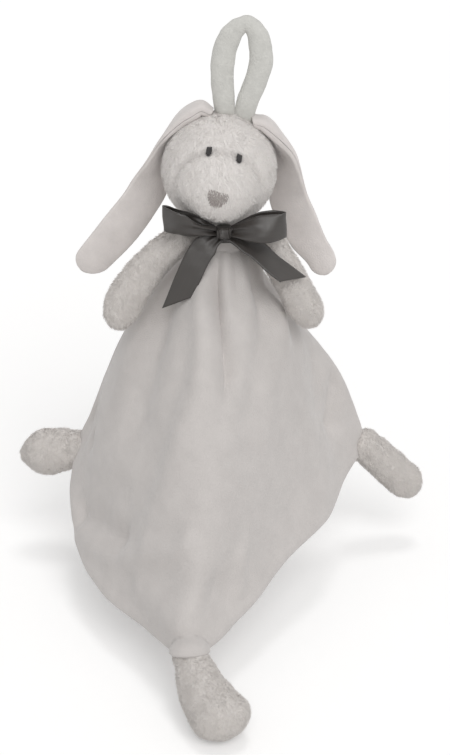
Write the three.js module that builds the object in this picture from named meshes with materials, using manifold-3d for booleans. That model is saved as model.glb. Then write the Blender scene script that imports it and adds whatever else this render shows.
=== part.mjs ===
import * as THREE from "three";
import { mergeVertices } from "three/addons/utils/BufferGeometryUtils.js";
import Module from "manifold-3d";

// Comfort blanket with a stuffed bunny head. Millimetres, X to the viewer's right, Y away, Z up.
// Places are measured from the middle of the neck; the origin is the hanging loop's inner top.

// Cloth and clearances
const GAP = 0.3; // clear space between two pieces that touch
const CLOTH_CLEAR = 0.4; // on each side of the gathered cloth at the neck
const ARM_CLEAR = 0.7; // between the ribbon band and an arm
const FOOT_CLEAR = 0.9; // round a foot, so that it can fold
const PLUSH = 1.4; // backing of the plush covers
const VELOUR = 1.2; // one layer of the blanket
const SATIN = 0.8; // ribbon
const THREAD = 0.9; // raised embroidery
const EDGE = 0.35; // edge of a thin patch

// Driving sizes
const BLANKET_WIDE = 235; // of the unfolded square
const RIBBON_WIDE = 15.4;
const HEAD_HALF = 35; // half of the head's width

const rad = THREE.MathUtils.degToRad;
const mix = THREE.MathUtils.lerp;
const vec = (p) => new THREE.Vector3(...p);
const times = (shares, size) => shares.map((share) => share * size);

// Neck: stuffed plug, gathered cloth around it, ribbon around the cloth
const NECK = { radius: 13.5, low: -6, high: 7.2, wrap: 152 };
const CORE = { radius: NECK.radius - GAP / 2 - VELOUR - CLOTH_CLEAR, low: -13, high: 13.5 };
const BAND = { radius: NECK.radius + GAP / 2 + VELOUR + CLOTH_CLEAR, low: -3, high: 7.9 };
const BAND_OUTSIDE = BAND.radius + SATIN;

// Head: skull and muzzle are two blended ellipsoids around one centre, sized by its half width
const HEAD = [-0.103 * HEAD_HALF, 0, NECK.high + 1.0143 * HEAD_HALF];
const HEAD_ROLL = 9;
const SKULL = times([1, 0.929, 0.989], HEAD_HALF);
const MUZZLE = { at: times([0, -0.414, -0.229], HEAD_HALF), size: times([0.729, 0.671, 0.6], HEAD_HALF) };
const MUZZLE_BLEND = 0.143 * HEAD_HALF;
const HEAD_GRID = [26, 16];
const HEAD_INNER_GRID = [16, 10];

// Face embroidery, angles to the right and up as seen from the head's centre
const FACE_TURN = 2;
const EYE = { wide: 3.8, tall: 5.8, sides: 12, rings: 2 };
const EYES = { left: { right: -20.5, up: 33 }, right: { right: 17, up: 30 } };
const NOSE = { wide: 11.4, tall: 9.2, right: -2, up: -9, sides: 18, rings: 3 };
const EYE_POINT_SHARE = 0.18;
const NOSE_CORNER_SHARE = 0.12;

// Hanging loop: a soft tube, its two ends sewn into the head's top seam
const LOOP = { tall: 52.3, tube: [14.2, 9], root: 5.6, rootLong: 22 };
const LOOP_FOOT_SHARES = [0.257, 0.114, 1.03]; // of the head's half width, from its centre
const LOOP_PATH_SHARES = [
  [-0.115, 0], [-0.13, 0.3], [-0.13, 0.55], [-0.085, 0.76], [0.015, 0.93], [0.145, 1],
  [0.25, 0.9], [0.3, 0.7], [0.305, 0.54], [0.255, 0.35], [0.175, 0.15], [0.135, 0],
];
const LOOP_WIDE_SHARES = [0.7, 0.9, 1, 1, 0.85, 0.68, 0.85, 1, 1, 0.95, 0.88, 0.7];
const LOOP_TOP = LOOP_PATH_SHARES.findIndex(([, high]) => high === 1);
const LOOP_STEPS = 26;
const LOOP_SIDES = 10;

// Blanket: square hung by one corner; its hem runs from the left foot by the front one to the right one
const HEM_SHARES = [
  [-0.423, 0.094, -0.677], [-0.432, -0.026, -0.766], [-0.404, -0.183, -0.834], [-0.332, -0.362, -0.868],
  [-0.213, -0.519, -0.877], [-0.087, -0.681, -0.864], [0.055, -0.511, -0.843], [0.162, -0.328, -0.796],
  [0.283, -0.145, -0.77], [0.336, 0.017, -0.736], [0.402, 0.128, -0.689],
];
const HEM = HEM_SHARES.map((shares) => times(shares, BLANKET_WIDE));
const FLARE = [56, 54, 51, 48, 46, 45, 44, 41, 36, 32, 30];
const HANG = [18, 19, 21, 24, 27, 31, 28, 25, 21, 15, 8];
const REACH_SHARE = 0.36;
const BLANKET_GRID = [20, 15];
const COLLAR_ROWS = 2;
const STEP_SHARE = 0.004;

// Folds: places across and down the blanket, height (minus for a valley) as a share of its side
const FOLDS = [
  { pathShares: [[-0.11, 0.14], [-0.06, 0.2], [-0.01, 0.26], [0.04, 0.34]], heightShare: -0.0145, wideShare: 0.065 },
  { pathShares: [[-0.16, 0.18], [-0.11, 0.31], [-0.07, 0.42], [-0.1, 0.55], [-0.16, 0.71]], heightShare: 0.0145, wideShare: 0.08 },
  { pathShares: [[-0.44, 0.3], [-0.44, 0.4], [-0.42, 0.54]], heightShare: -0.018, wideShare: 0.12 },
  { pathShares: [[0.05, 0.1], [0.35, 0.18], [0.7, 0.3], [0.61, 0.39]], heightShare: -0.0136, wideShare: 0.08 },
  { pathShares: [[0.54, 0.38], [0.86, 0.57], [0.95, 0.71]], heightShare: 0.0128, wideShare: 0.1 },
  { pathShares: [[-0.64, 0.96], [-0.52, 0.91], [-0.35, 0.86]], heightShare: -0.012, wideShare: 0.06 },
  { pathShares: [[-0.5, 0.97], [-0.38, 0.92], [-0.2, 0.85], [-0.04, 0.78]], heightShare: 0.0128, wideShare: 0.07 },
  { pathShares: [[-1, 0.85], [-0.9, 0.84]], heightShare: -0.0145, wideShare: 0.08 },
  { pathShares: [[0.94, 0.76], [0.87, 0.82]], heightShare: -0.011, wideShare: 0.07 },
];

// Limbs: way and length from the root ball to the tip, bend of the middle inwards, radii along the way
const ARM_HIGH = 2.4;
const ARMS = {
  left: {
    around: -75, ball: 10.5, long: 72.1, wayShares: [-0.614, -0.207, -0.761], bend: -4.7,
    swell: 12.3, swellShares: [0.83, 0.88, 0.98, 0.98, 0.69], flatShare: 0.8,
  },
  right: {
    around: 68, ball: 10, long: 63.8, wayShares: [0.494, -0.188, -0.85], bend: 0,
    swell: 10.9, swellShares: [0.93, 0.96, 1, 0.97, 0.68], flatShare: 0.84,
  },
};
const FEET = {
  left: {
    root: HEM.at(0), ball: 12, long: 38.9, wayShares: [-0.954, 0.18, -0.239], bend: 0,
    swell: 15.6, swellShares: [0.86, 0.97, 0.99, 0.74, 0.42], flatShare: 0.9,
  },
  right: {
    root: HEM.at(-1), ball: 11.6, long: 52.6, wayShares: [0.688, 0.133, -0.713], bend: 0,
    swell: 12.4, swellShares: [0.94, 0.97, 0.98, 0.97, 0.68], flatShare: 0.92,
  },
  front: {
    root: HEM.at(5), ball: 10.4, long: 54.3, wayShares: [0.492, -0.773, -0.401], bend: 3.4,
    swell: 16, swellShares: [0.7, 0.82, 0.91, 1, 0.68], flatShare: 0.9,
  },
};
const LIMB_PLACE_SHARES = [0.12, 0.34, 0.58, 0.8, 0.94];
const LIMB_SIDES = 16;
const LIMB_INNER_SIDES = 10;
const MOUTH_SHARE = 0.55;
const BALL_RINGS = 4;

// Ears: places from the head's centre as shares of its half width, first the seam on the head
const EARS = {
  left: {
    pathShares: [
      [-0.254, 0.114, 1.009], [-0.331, 0.143, 1.123], [-0.551, 0.171, 0.986], [-0.814, 0.229, 0.683],
      [-0.997, 0.343, 0.223], [-1.257, 0.343, -0.494], [-1.74, 0.171, -1.146], [-2.14, 0.086, -1.586],
      [-2.44, 0.029, -1.9],
    ],
    acrossShares: [
      [0, 1, 0], [0, 1, 0], [0.1, 0.97, 0.1], [0.25, 0.93, 0.1], [0.5, 0.85, -0.05], [0.74, 0.42, -0.4],
      [0.8, 0.2, -0.5], [0.8, 0.1, -0.52], [0.8, 0.05, -0.55],
    ],
    wide: 26.5,
    wideShares: [0.5, 0.6, 0.72, 0.8, 0.9, 1, 0.96, 0.8, 0.35],
  },
  right: {
    pathShares: [
      [0.705, 0.114, 0.756], [0.785, 0.143, 0.882], [0.934, 0.2, 0.711], [1.083, 0.343, 0.231],
      [1.183, 0.343, -0.597], [1.351, 0.257, -0.94], [1.589, 0.143, -1.409], [1.806, 0.086, -1.694],
      [1.92, 0.029, -1.98],
    ],
    acrossShares: [
      [0, 1, 0], [0, 1, 0], [-0.15, 0.97, 0.05], [-0.5, 0.85, 0], [-0.8, 0.5, -0.25], [-0.86, 0.3, -0.3],
      [-0.88, 0.15, -0.33], [-0.9, 0.1, -0.35], [-0.9, 0.1, -0.35],
    ],
    wide: 25.5,
    wideShares: [0.5, 0.6, 0.76, 0.9, 1, 0.92, 0.76, 0.56, 0.28],
  },
};
const EAR_PANEL = 1.9; // plump middle of one panel
const EAR_RIM = 0.9; // its sewn rim
const EAR_ROOT = 2.6; // radius of its seat in the head
const EAR_SUNK = 1.3; // how far it reaches below the middle of its seat
const EAR_STEPS = 16;
const EAR_ACROSS = 4;

// Bow tied at the front of the neck, its loops and tails measured from the knot's middle
const KNOT = { right: -0.5, high: 9.3, half: [5.2, 6.9, 4.7] };
const KNOT_AT = [KNOT.right, -(BAND_OUTSIDE + GAP + KNOT.half[1]), KNOT.high];
const BOW = {
  left: { reach: [-36.3, -3.8, 10.1], bulge: 4.4 },
  right: { reach: [37.1, -3.8, 7], bulge: 4.6 },
};
const BOW_FORWARD = 8.5;
const BOW_START = 1; // how far the loops start in front of the knot's middle
const BOW_NEAR_SHARE = 0.4; // of the ribbon's width, where it is gathered
const BOW_GROW_SHARE = 0.6; // of a loop's length, over which it spreads to its full width
const BOW_ROUND_POWER = 1.35;
const BOW_STEPS = 9;
const TAILS = {
  left: {
    path: [[-4.1, -1.3, -5.4], [-10, -2.8, -6.8], [-14.6, -3.3, -11.1], [-21.3, -5.8, -24.4], [-28.2, -7.8, -41.3]],
    leanShares: [0.82, -0.24, -0.5], slant: -7.5,
  },
  right: {
    path: [[3.7, -1.3, -5.4], [12, -3.2, -5.8], [19.2, -4.8, -7.7], [28.9, -7.6, -15.8], [41.7, -9.2, -25.6]],
    leanShares: [0.39, 0.84, 0.38], slant: 6.3,
  },
};
const TAIL_NEAR_SHARE = 0.58;
const TAIL_GROW_SHARE = 0.35;
const TAIL_STEPS = 10;

const fromHead = (shares) => vec(shares).multiplyScalar(HEAD_HALF).add(vec(HEAD)).toArray();
const fromKnot = (place) => vec(place).add(vec(KNOT_AT)).toArray();
const wasm = await Module();
wasm.setup();

// Places that follow from the sizes above
const LOOP_FOOT = fromHead(LOOP_FOOT_SHARES);
const NECK_FROM_LOOP = [
  -(LOOP_FOOT[0] + LOOP.tall * LOOP_PATH_SHARES[LOOP_TOP][0]),
  -LOOP_FOOT[1],
  -(LOOP_FOOT[2] + LOOP.tall - LOOP.tube[0] * LOOP_WIDE_SHARES[LOOP_TOP] / 2),
];

function armRoot({ around, ball }) {
  const out = BAND_OUTSIDE + ball + ARM_CLEAR;
  return [out * Math.sin(rad(around)), -out * Math.cos(rad(around)), ARM_HIGH];
}


// Solids

function meshFrom(points, faces) {
  const geometry = new THREE.BufferGeometry();
  geometry.setAttribute("position", new THREE.Float32BufferAttribute(points.flatMap((p) => [p.x, p.y, p.z]), 3));
  geometry.setIndex(faces.flat());
  return geometry;
}

function toSolid(geometry) {
  const bare = geometry.clone();
  bare.deleteAttribute("normal");
  bare.deleteAttribute("uv");
  const merged = mergeVertices(bare);
  const data = { numProp: 3, vertProperties: merged.attributes.position.array, triVerts: merged.index.array };
  return new wasm.Manifold(new wasm.Mesh({ ...data, triVerts: new Uint32Array(data.triVerts) }));
}

function toGeometry(solid) {
  const mesh = solid.getMesh();
  const geometry = new THREE.BufferGeometry();
  geometry.setAttribute("position", new THREE.BufferAttribute(new Float32Array(mesh.vertProperties), 3));
  geometry.setIndex(new THREE.BufferAttribute(new Uint32Array(mesh.triVerts), 1));
  return geometry;
}

const cut = (geometry, ...tools) =>
  toGeometry(tools.reduce((solid, tool) => solid.subtract(toSolid(tool)), toSolid(geometry)));

const join = (geometry, ...others) =>
  toGeometry(others.reduce((solid, other) => solid.add(toSolid(other)), toSolid(geometry)));

// Surface through closed rings of points, closed by one point at each end
function loft(rings, first, last) {
  const sides = rings[0].length;
  const points = [...rings.flat(), first, last];
  const faces = [];
  for (let side = 0; side < sides; side += 1) {
    const next = (side + 1) % sides;
    for (let ring = 0; ring + 1 < rings.length; ring += 1) {
      const [a, b] = [ring * sides, (ring + 1) * sides];
      faces.push([a + side, a + next, b + next], [a + side, b + next, b + side]);
    }
    const end = (rings.length - 1) * sides;
    faces.push([points.length - 2, next, side], [points.length - 1, end + side, end + next]);
  }
  return meshFrom(points, faces);
}

// Thin patch between two grids of points with the same rows and columns
function patch(outer, inner) {
  const [rows, columns] = [outer.length, outer[0].length];
  const points = [...outer.flat(), ...inner.flat()];
  const under = rows * columns;
  const at = (row, column) => row * columns + column;
  const faces = [];
  const wall = (a, b) => faces.push([b, a, a + under], [b, a + under, b + under]);
  for (let row = 0; row + 1 < rows; row += 1) {
    for (let column = 0; column + 1 < columns; column += 1) {
      const [a, b] = [at(row, column), at(row, column + 1)];
      const [c, d] = [at(row + 1, column + 1), at(row + 1, column)];
      faces.push([a, b, c], [a, c, d], [a + under, c + under, b + under], [a + under, d + under, c + under]);
    }
    wall(at(row + 1, 0), at(row, 0));
    wall(at(row, columns - 1), at(row + 1, columns - 1));
  }
  for (let column = 0; column + 1 < columns; column += 1) {
    wall(at(0, column), at(0, column + 1));
    wall(at(rows - 1, column + 1), at(rows - 1, column));
  }
  return meshFrom(points, faces);
}

const ballAt = (place, radius, sides = LIMB_SIDES) =>
  new THREE.SphereGeometry(radius, sides, sides).translate(...place);

function rodAlong(place, axis, radius, long, sides = LIMB_SIDES) {
  const turn = new THREE.Quaternion().setFromUnitVectors(new THREE.Vector3(0, 1, 0), axis);
  return new THREE.CylinderGeometry(radius, radius, long, sides).applyQuaternion(turn).translate(...place);
}

// Head

const headUp = new THREE.Vector3(Math.sin(rad(HEAD_ROLL)), 0, Math.cos(rad(HEAD_ROLL)));
const headTurn = new THREE.Quaternion().setFromUnitVectors(new THREE.Vector3(0, 0, 1), headUp);

// Distance from the head's centre to the outside of an ellipsoid, zero where the ray misses it
function rayThrough(direction, at, size) {
  const [d, c] = [direction.clone().divide(vec(size)), vec(at).divide(vec(size))];
  const [a, b] = [d.lengthSq(), d.dot(c)];
  const under = b * b - a * (c.lengthSq() - 1);
  return under < 0 ? 0 : Math.max(0, (b + Math.sqrt(under)) / a);
}

function headRadius(direction) {
  const skull = rayThrough(direction, [0, 0, 0], SKULL);
  const muzzle = rayThrough(direction, MUZZLE.at, MUZZLE.size);
  const share = THREE.MathUtils.clamp((muzzle - skull) / MUZZLE_BLEND / 2 + 1 / 2, 0, 1);
  return mix(skull, muzzle, share) + MUZZLE_BLEND * share * (1 - share) / 2;
}

function headPoint(direction, lift) {
  const out = direction.clone().multiplyScalar(headRadius(direction) + lift);
  return out.applyQuaternion(headTurn).add(vec(HEAD));
}

function headSkin([around, down], lift) {
  const rings = [];
  for (let row = 1; row < down; row += 1) {
    const tilt = Math.PI * row / down;
    rings.push(Array.from({ length: around }, (_, side) => {
      const angle = -2 * Math.PI * side / around;
      const flat = Math.sin(tilt);
      return headPoint(new THREE.Vector3(flat * Math.sin(angle), -flat * Math.cos(angle), Math.cos(tilt)), lift);
    }));
  }
  return loft(rings, headPoint(new THREE.Vector3(0, 0, 1), lift), headPoint(new THREE.Vector3(0, 0, -1), lift));
}

// Raised patch on the head, its outline given as a distance for each angle around its middle
function embroidery({ wide, tall, right, up, sides, rings }, outline) {
  const place = (across, high, lift) => {
    const tilt = -rad(up) - high / SKULL[1];
    const turn = rad(right + FACE_TURN) + across / SKULL[1];
    return headPoint(new THREE.Vector3(0, -1, 0).applyEuler(new THREE.Euler(tilt, 0, turn, "ZXY")), lift);
  };
  const ring = (share, lift) => Array.from({ length: sides }, (_, side) => {
    const angle = 2 * Math.PI * side / sides;
    const reach = outline(angle) * share / 2;
    return place(wide * reach * Math.cos(angle), tall * reach * Math.sin(angle), lift);
  });
  const shares = Array.from({ length: rings }, (_, index) => (index + 1) / rings);
  const under = shares.map((share) => ring(share, GAP));
  const over = shares.map((share) => ring(share, GAP + EDGE + THREAD * (1 - share * share))).reverse();
  return loft([...under, ...over], place(0, 0, GAP), place(0, 0, GAP + EDGE + THREAD));
}

const eyeOutline = (angle) => 1 + EYE_POINT_SHARE * Math.sin(angle) * Math.abs(Math.cos(angle));
const noseOutline = (angle) => 1 + NOSE_CORNER_SHARE * Math.sin(3 * angle);

// Stuffed limbs

function limbRings({ root, wayShares, long, ball, bend, swell, swellShares, flatShare }, shrink, sides) {
  const ahead = vec(wayShares).normalize();
  const across = new THREE.Vector3(ahead.z, 0, -ahead.x).normalize();
  if (ahead.x < 0) across.negate();
  const depth = across.clone().cross(ahead).normalize();
  const reach = long - shrink;
  const middle = (share) => vec(root).addScaledVector(ahead, reach * share)
    .addScaledVector(across, bend * Math.sin(Math.PI * Math.max(0, share)));
  const ring = (share, wide, deep) => Array.from({ length: sides }, (_, side) => {
    const angle = 2 * Math.PI * side / sides;
    return middle(share).addScaledVector(across, wide * Math.cos(angle))
      .addScaledVector(depth, -deep * Math.sin(angle));
  });
  const small = ball - shrink;
  const rings = [];
  for (let step = 1; step <= BALL_RINGS; step += 1) {
    const tilt = Math.PI / 2 * step / BALL_RINGS;
    rings.push(ring(-small / reach * Math.cos(tilt), small * Math.sin(tilt), small * Math.sin(tilt)));
  }
  LIMB_PLACE_SHARES.forEach((share, index) => {
    const wide = swell * swellShares[index];
    rings.push(ring(share, wide - shrink, mix(wide, wide * flatShare, Math.min(1, share * 2)) - shrink));
  });
  return { skin: loft(rings, middle(-small / reach), middle(1)), ahead };
}

// Cover with an open mouth at its root, and the filling inside it
function stuffed(limb) {
  const outside = limbRings(limb, 0, LIMB_SIDES);
  const hollow = limbRings(limb, PLUSH, LIMB_INNER_SIDES);
  const filling = limbRings(limb, PLUSH + GAP, LIMB_INNER_SIDES);
  const mouthAt = vec(limb.root).addScaledVector(outside.ahead, -limb.ball).toArray();
  const mouth = rodAlong(mouthAt, outside.ahead, limb.ball * MOUTH_SHARE, limb.ball, LIMB_INNER_SIDES);
  return { cover: cut(outside.skin, hollow.skin, mouth), filling: filling.skin };
}

// Blanket

const hemLine = new THREE.CatmullRomCurve3(HEM.map(vec), false, "centripetal");
const collarShare = COLLAR_ROWS / BLANKET_GRID[1];

function alongTable(table, share) {
  const place = share * (table.length - 1);
  const index = THREE.MathUtils.clamp(Math.floor(place), 0, table.length - 2);
  return mix(table[index], table[index + 1], place - index);
}

// Place on the unfolded blanket: across from -1 at the left edge to 1 at the right, down from 0 to 1
function drape(across, down) {
  const share = (across + 1) / 2;
  const turn = rad(NECK.wrap) * across;
  const hem = hemLine.getPoint(THREE.MathUtils.clamp(share, 0, 1));
  const collarHigh = mix(NECK.high, NECK.low, Math.min(1, down / collarShare));
  const collar = new THREE.Vector3(NECK.radius * Math.sin(turn), -NECK.radius * Math.cos(turn), collarHigh);
  if (down <= collarShare) return collar;
  const far = new THREE.Vector2(hem.x, hem.y).normalize();
  const out = new THREE.Vector2(Math.sin(turn), -Math.cos(turn)).lerp(far, 1 / 2).normalize();
  const reach = hem.distanceTo(collar) * REACH_SHARE;
  const flare = rad(alongTable(FLARE, share));
  const hang = rad(alongTable(HANG, share));
  const first = new THREE.Vector3(out.x * Math.sin(flare), out.y * Math.sin(flare), -Math.cos(flare));
  const last = new THREE.Vector3(far.x * Math.sin(hang), far.y * Math.sin(hang), -Math.cos(hang));
  const near = collar.clone().addScaledVector(first, reach);
  const before = hem.clone().addScaledVector(last, -reach);
  return new THREE.CubicBezierCurve3(collar, near, before, hem).getPoint((down - collarShare) / (1 - collarShare));
}

function foldHeight(across, down) {
  const spot = new THREE.Vector3(across, down, 0);
  const sum = FOLDS.reduce((total, { pathShares, heightShare, wideShare }) => {
    let nearest = Infinity;
    for (let index = 0; index + 1 < pathShares.length; index += 1) {
      const [start, end] = [pathShares[index], pathShares[index + 1]];
      const part = new THREE.Line3(new THREE.Vector3(...start, 0), new THREE.Vector3(...end, 0));
      nearest = Math.min(nearest, part.closestPointToPoint(spot, true, new THREE.Vector3()).distanceTo(spot));
    }
    return total + BLANKET_WIDE * heightShare * Math.exp(-((nearest / wideShare) ** 2));
  }, 0);
  return sum * THREE.MathUtils.smoothstep(down, collarShare, 2 * collarShare);
}

function outwards(surface, across, down) {
  const [right, left] = [surface(across + STEP_SHARE, down), surface(across - STEP_SHARE, down)];
  const [low, high] = [
    surface(across, Math.min(1, down + STEP_SHARE)), surface(across, Math.max(0, down - STEP_SHARE)),
  ];
  return right.sub(left).cross(high.sub(low)).normalize();
}

const cloth = (across, down) =>
  drape(across, down).addScaledVector(outwards(drape, across, down), foldHeight(across, down));

function layer(outside, inside) {
  const [columns, rows] = BLANKET_GRID;
  const grid = (lift) => Array.from({ length: rows + 1 }, (_, row) =>
    Array.from({ length: columns + 1 }, (__, column) => {
      const [across, down] = [2 * column / columns - 1, row / rows];
      return cloth(across, down).addScaledVector(outwards(cloth, across, down), lift);
    }).reverse());
  const seats = Object.values(FEET).flatMap((foot) =>
    [ballAt(foot.root, foot.ball + GAP), limbRings(foot, -FOOT_CLEAR, LIMB_SIDES).skin]);
  return cut(patch(grid(outside), grid(inside)), ...seats);
}

// Ears

function earPanel({ pathShares, acrossShares, wide, wideShares }, side) {
  const line = new THREE.CatmullRomCurve3(pathShares.map((shares) => vec(fromHead(shares))), false, "centripetal");
  const acrossAt = (share) => {
    const axes = acrossShares.map(vec);
    const place = share * (axes.length - 1);
    const index = Math.min(Math.floor(place), axes.length - 2);
    return axes[index].clone().lerp(axes[index + 1], place - index).normalize();
  };
  const grid = (lift) => Array.from({ length: EAR_STEPS + 1 }, (_, row) => {
    const share = row / EAR_STEPS;
    const axis = acrossAt(share);
    const along = line.getTangent(share);
    const middle = line.getPoint(share).addScaledVector(along, row ? 0 : -EAR_SUNK);
    const normal = axis.clone().cross(along).normalize();
    return Array.from({ length: EAR_ACROSS + 1 }, (__, column) => {
      const spread = 2 * column / EAR_ACROSS - 1;
      return middle.clone().addScaledVector(axis, spread * wide * alongTable(wideShares, share) / 2)
        .addScaledVector(normal, lift(1 - spread * spread) * side);
    });
  });
  const away = grid((plump) => mix(EAR_RIM, EAR_PANEL, plump) + GAP / 2);
  const near = grid(() => GAP / 2);
  return side > 0 ? patch(away, near) : patch(near, away);
}

// Ribbon

function bowLoop({ reach, bulge }) {
  const start = vec(KNOT_AT);
  start.x += Math.sign(reach[0]) * (KNOT.half[0] + GAP + SATIN / 2);
  start.y -= BOW_START;
  const end = vec(fromKnot(reach));
  const outline = (side) => Array.from({ length: BOW_STEPS }, (_, step) => {
    const share = (step + (side > 0 ? 0 : 1)) / BOW_STEPS;
    const middle = start.clone().lerp(end, share);
    const swing = side * bulge * Math.sin(Math.PI * share ** BOW_ROUND_POWER);
    middle.y -= BOW_FORWARD * Math.sin(Math.PI * share) / 2 + swing;
    return { middle, half: RIBBON_WIDE * mix(BOW_NEAR_SHARE, 1, Math.min(1, share / BOW_GROW_SHARE)) / 2 };
  });
  const around = [...outline(1), ...outline(-1).reverse()];
  const count = around.length;
  const ring = (lift, high) => around.map(({ middle, half }, index) => {
    const [before, after] = [around[(index + count - 1) % count].middle, around[(index + 1) % count].middle];
    const flat = after.clone().sub(before);
    const normal = new THREE.Vector3(flat.y, -flat.x, 0).normalize();
    return middle.clone().addScaledVector(normal, lift * Math.sign(reach[0])).setZ(middle.z + high * half);
  });
  const loops = [ring(SATIN / 2, 1), ring(SATIN / 2, 0), ring(SATIN / 2, -1), ring(-SATIN / 2, -1),
    ring(-SATIN / 2, 0), ring(-SATIN / 2, 1)];
  const faces = [];
  loops.forEach((_, index) => {
    const [a, b] = [index * count, ((index + 1) % loops.length) * count];
    for (let side = 0; side < count; side += 1) {
      const next = (side + 1) % count;
      faces.push([a + side, a + next, b + next], [a + side, b + next, b + side]);
    }
  });
  return meshFrom(loops.flat(), faces.map((face) => (reach[0] < 0 ? face : face.reverse())));
}

// Free end of the ribbon, cut off at a slant
function tail({ path, leanShares, slant }) {
  const line = new THREE.CatmullRomCurve3(path.map((place) => vec(fromKnot(place))), false, "centripetal");
  const grid = (lift) => Array.from({ length: TAIL_STEPS + 1 }, (_, row) => {
    const share = row / TAIL_STEPS;
    const along = line.getTangent(share);
    const axis = vec(leanShares).projectOnPlane(along).normalize();
    const normal = along.clone().cross(axis).normalize();
    const wide = RIBBON_WIDE * mix(TAIL_NEAR_SHARE, 1, Math.min(1, share / TAIL_GROW_SHARE));
    return [-1, 0, 1].map((side) => line.getPoint(share)
      .addScaledVector(axis, side * wide / 2)
      .addScaledVector(along, side * slant * share * share)
      .addScaledVector(normal, lift));
  });
  return patch(grid(-SATIN / 2), grid(SATIN / 2));
}

function ringAround(radius, thick, low, high) {
  const corners = [[radius, low], [radius + thick, low], [radius + thick, high], [radius, high], [radius, low]];
  return new THREE.LatheGeometry(corners.map((p) => new THREE.Vector2(...p)), LIMB_SIDES * 2).rotateX(Math.PI / 2);
}

// Hanging loop

function loopTube() {
  const places = LOOP_PATH_SHARES.map(([across, high]) => new THREE.Vector3(across, 0, high).multiplyScalar(LOOP.tall));
  const line = new THREE.CatmullRomCurve3(places.map((place) => place.add(vec(LOOP_FOOT))), false, "centripetal");
  const rings = Array.from({ length: LOOP_STEPS + 1 }, (_, step) => {
    const share = step / LOOP_STEPS;
    const along = line.getTangent(share);
    const out = new THREE.Vector3(along.z, 0, -along.x);
    const half = LOOP.tube[0] * alongTable(LOOP_WIDE_SHARES, share) / 2;
    return Array.from({ length: LOOP_SIDES }, (__, side) => {
      const angle = 2 * Math.PI * side / LOOP_SIDES;
      const place = line.getPoint(share).addScaledVector(out, half * Math.cos(angle));
      return place.setY(place.y + LOOP.tube[1] / 2 * Math.sin(angle));
    });
  });
  return loft(rings, line.getPoint(0), line.getPoint(1));
}

// Assembly

const whole = new THREE.Group();
whole.position.set(...NECK_FROM_LOOP);

function add(name, geometry, color, roughness) {
  const material = new THREE.MeshStandardMaterial({ color, roughness, metalness: 0 });
  const mesh = new THREE.Mesh(geometry, material);
  mesh.name = name;
  whole.add(mesh);
}

const WARM_GREY = 0xc4bfbc;
const PALE_GREY = 0xd5d0cd;
const EAR_GREY = 0xbdb6b3;
const TAUPE = 0x544f4c;
const NOSE_GREY = 0xa3928d;
const BLACK = 0x1c1a1a;
const WHITE = 0xf2f0ec;
const SOFT = 0.95;
const SHINY = 0.4;

const xAxis = new THREE.Vector3(1, 0, 0);
const yAxis = new THREE.Vector3(0, 1, 0);
const zAxis = new THREE.Vector3(0, 0, 1);

const loopSeat = (room) => rodAlong(LOOP_FOOT, xAxis, LOOP.root + room, LOOP.rootLong + 2 * room);
const earSeats = Object.values(EARS).map(({ pathShares, wide, wideShares }) =>
  rodAlong(fromHead(pathShares[0]), yAxis, EAR_ROOT + GAP, wide * wideShares[0] + 2 * GAP, LIMB_INNER_SIDES));
const neckSeat = (room) => rodAlong(
  [0, 0, (CORE.low + CORE.high + room) / 2], zAxis, CORE.radius + room, CORE.high + room - CORE.low, 2 * LIMB_SIDES);
const seats = [loopSeat(GAP), ...earSeats, neckSeat(GAP)];

add("head_cover", cut(headSkin(HEAD_GRID, 0), ...seats, headSkin(HEAD_INNER_GRID, -PLUSH)), PALE_GREY, SOFT);
add("head_filling", cut(headSkin(HEAD_INNER_GRID, -PLUSH - GAP), loopSeat(PLUSH), neckSeat(PLUSH)), WHITE, SOFT);
Object.entries(EYES).forEach(([side, place]) =>
  add(`eye_${side}`, embroidery({ ...EYE, ...place }, eyeOutline), BLACK, SHINY));
add("nose", embroidery(NOSE, noseOutline), NOSE_GREY, SHINY);
add("hanging_loop", join(loopTube(), rodAlong(LOOP_FOOT, xAxis, LOOP.root, LOOP.rootLong)), WHITE, SOFT);
Object.entries(EARS).forEach(([side, ear]) => {
  add(`ear_${side}_outer`, earPanel(ear, 1), EAR_GREY, SOFT);
  add(`ear_${side}_lining`, earPanel(ear, -1), EAR_GREY, SOFT);
});
add("neck_core", rodAlong(
  [0, 0, (CORE.high + CORE.low) / 2], zAxis, CORE.radius, CORE.high - CORE.low, 2 * LIMB_SIDES), WHITE, SOFT);
add("blanket_front", layer(VELOUR + GAP / 2, GAP / 2), WARM_GREY, SOFT);
add("blanket_back", layer(-GAP / 2, -VELOUR - GAP / 2), WARM_GREY, SOFT);
Object.entries(ARMS).forEach(([side, limb]) => {
  const { cover, filling } = stuffed({ ...limb, root: armRoot(limb) });
  add(`arm_${side}_cover`, cover, WARM_GREY, SOFT);
  add(`arm_${side}_filling`, filling, WHITE, SOFT);
});
Object.entries(FEET).forEach(([side, limb]) => {
  const { cover, filling } = stuffed(limb);
  add(`foot_${side}_cover`, cover, WARM_GREY, SOFT);
  add(`foot_${side}_filling`, filling, WHITE, SOFT);
});
add("ribbon_band", ringAround(BAND.radius, SATIN, BAND.low, BAND.high), TAUPE, SHINY);
add("ribbon_knot", new THREE.SphereGeometry(1, LIMB_SIDES, LIMB_INNER_SIDES)
  .scale(...KNOT.half).translate(...KNOT_AT), TAUPE, SHINY);
Object.entries(BOW).forEach(([side, loop]) => add(`ribbon_loop_${side}`, bowLoop(loop), TAUPE, SHINY));
Object.entries(TAILS).forEach(([side, end]) => add(`ribbon_tail_${side}`, tail(end), TAUPE, SHINY));

export default whole;
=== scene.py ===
"""Comfort blanket with a stuffed bunny head: plush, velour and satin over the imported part."""
import math

import bmesh
import bpy
import numpy as np
from bpy.props import FloatProperty, FloatVectorProperty, IntProperty, PointerProperty
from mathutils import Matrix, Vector, kdtree, noise


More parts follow.
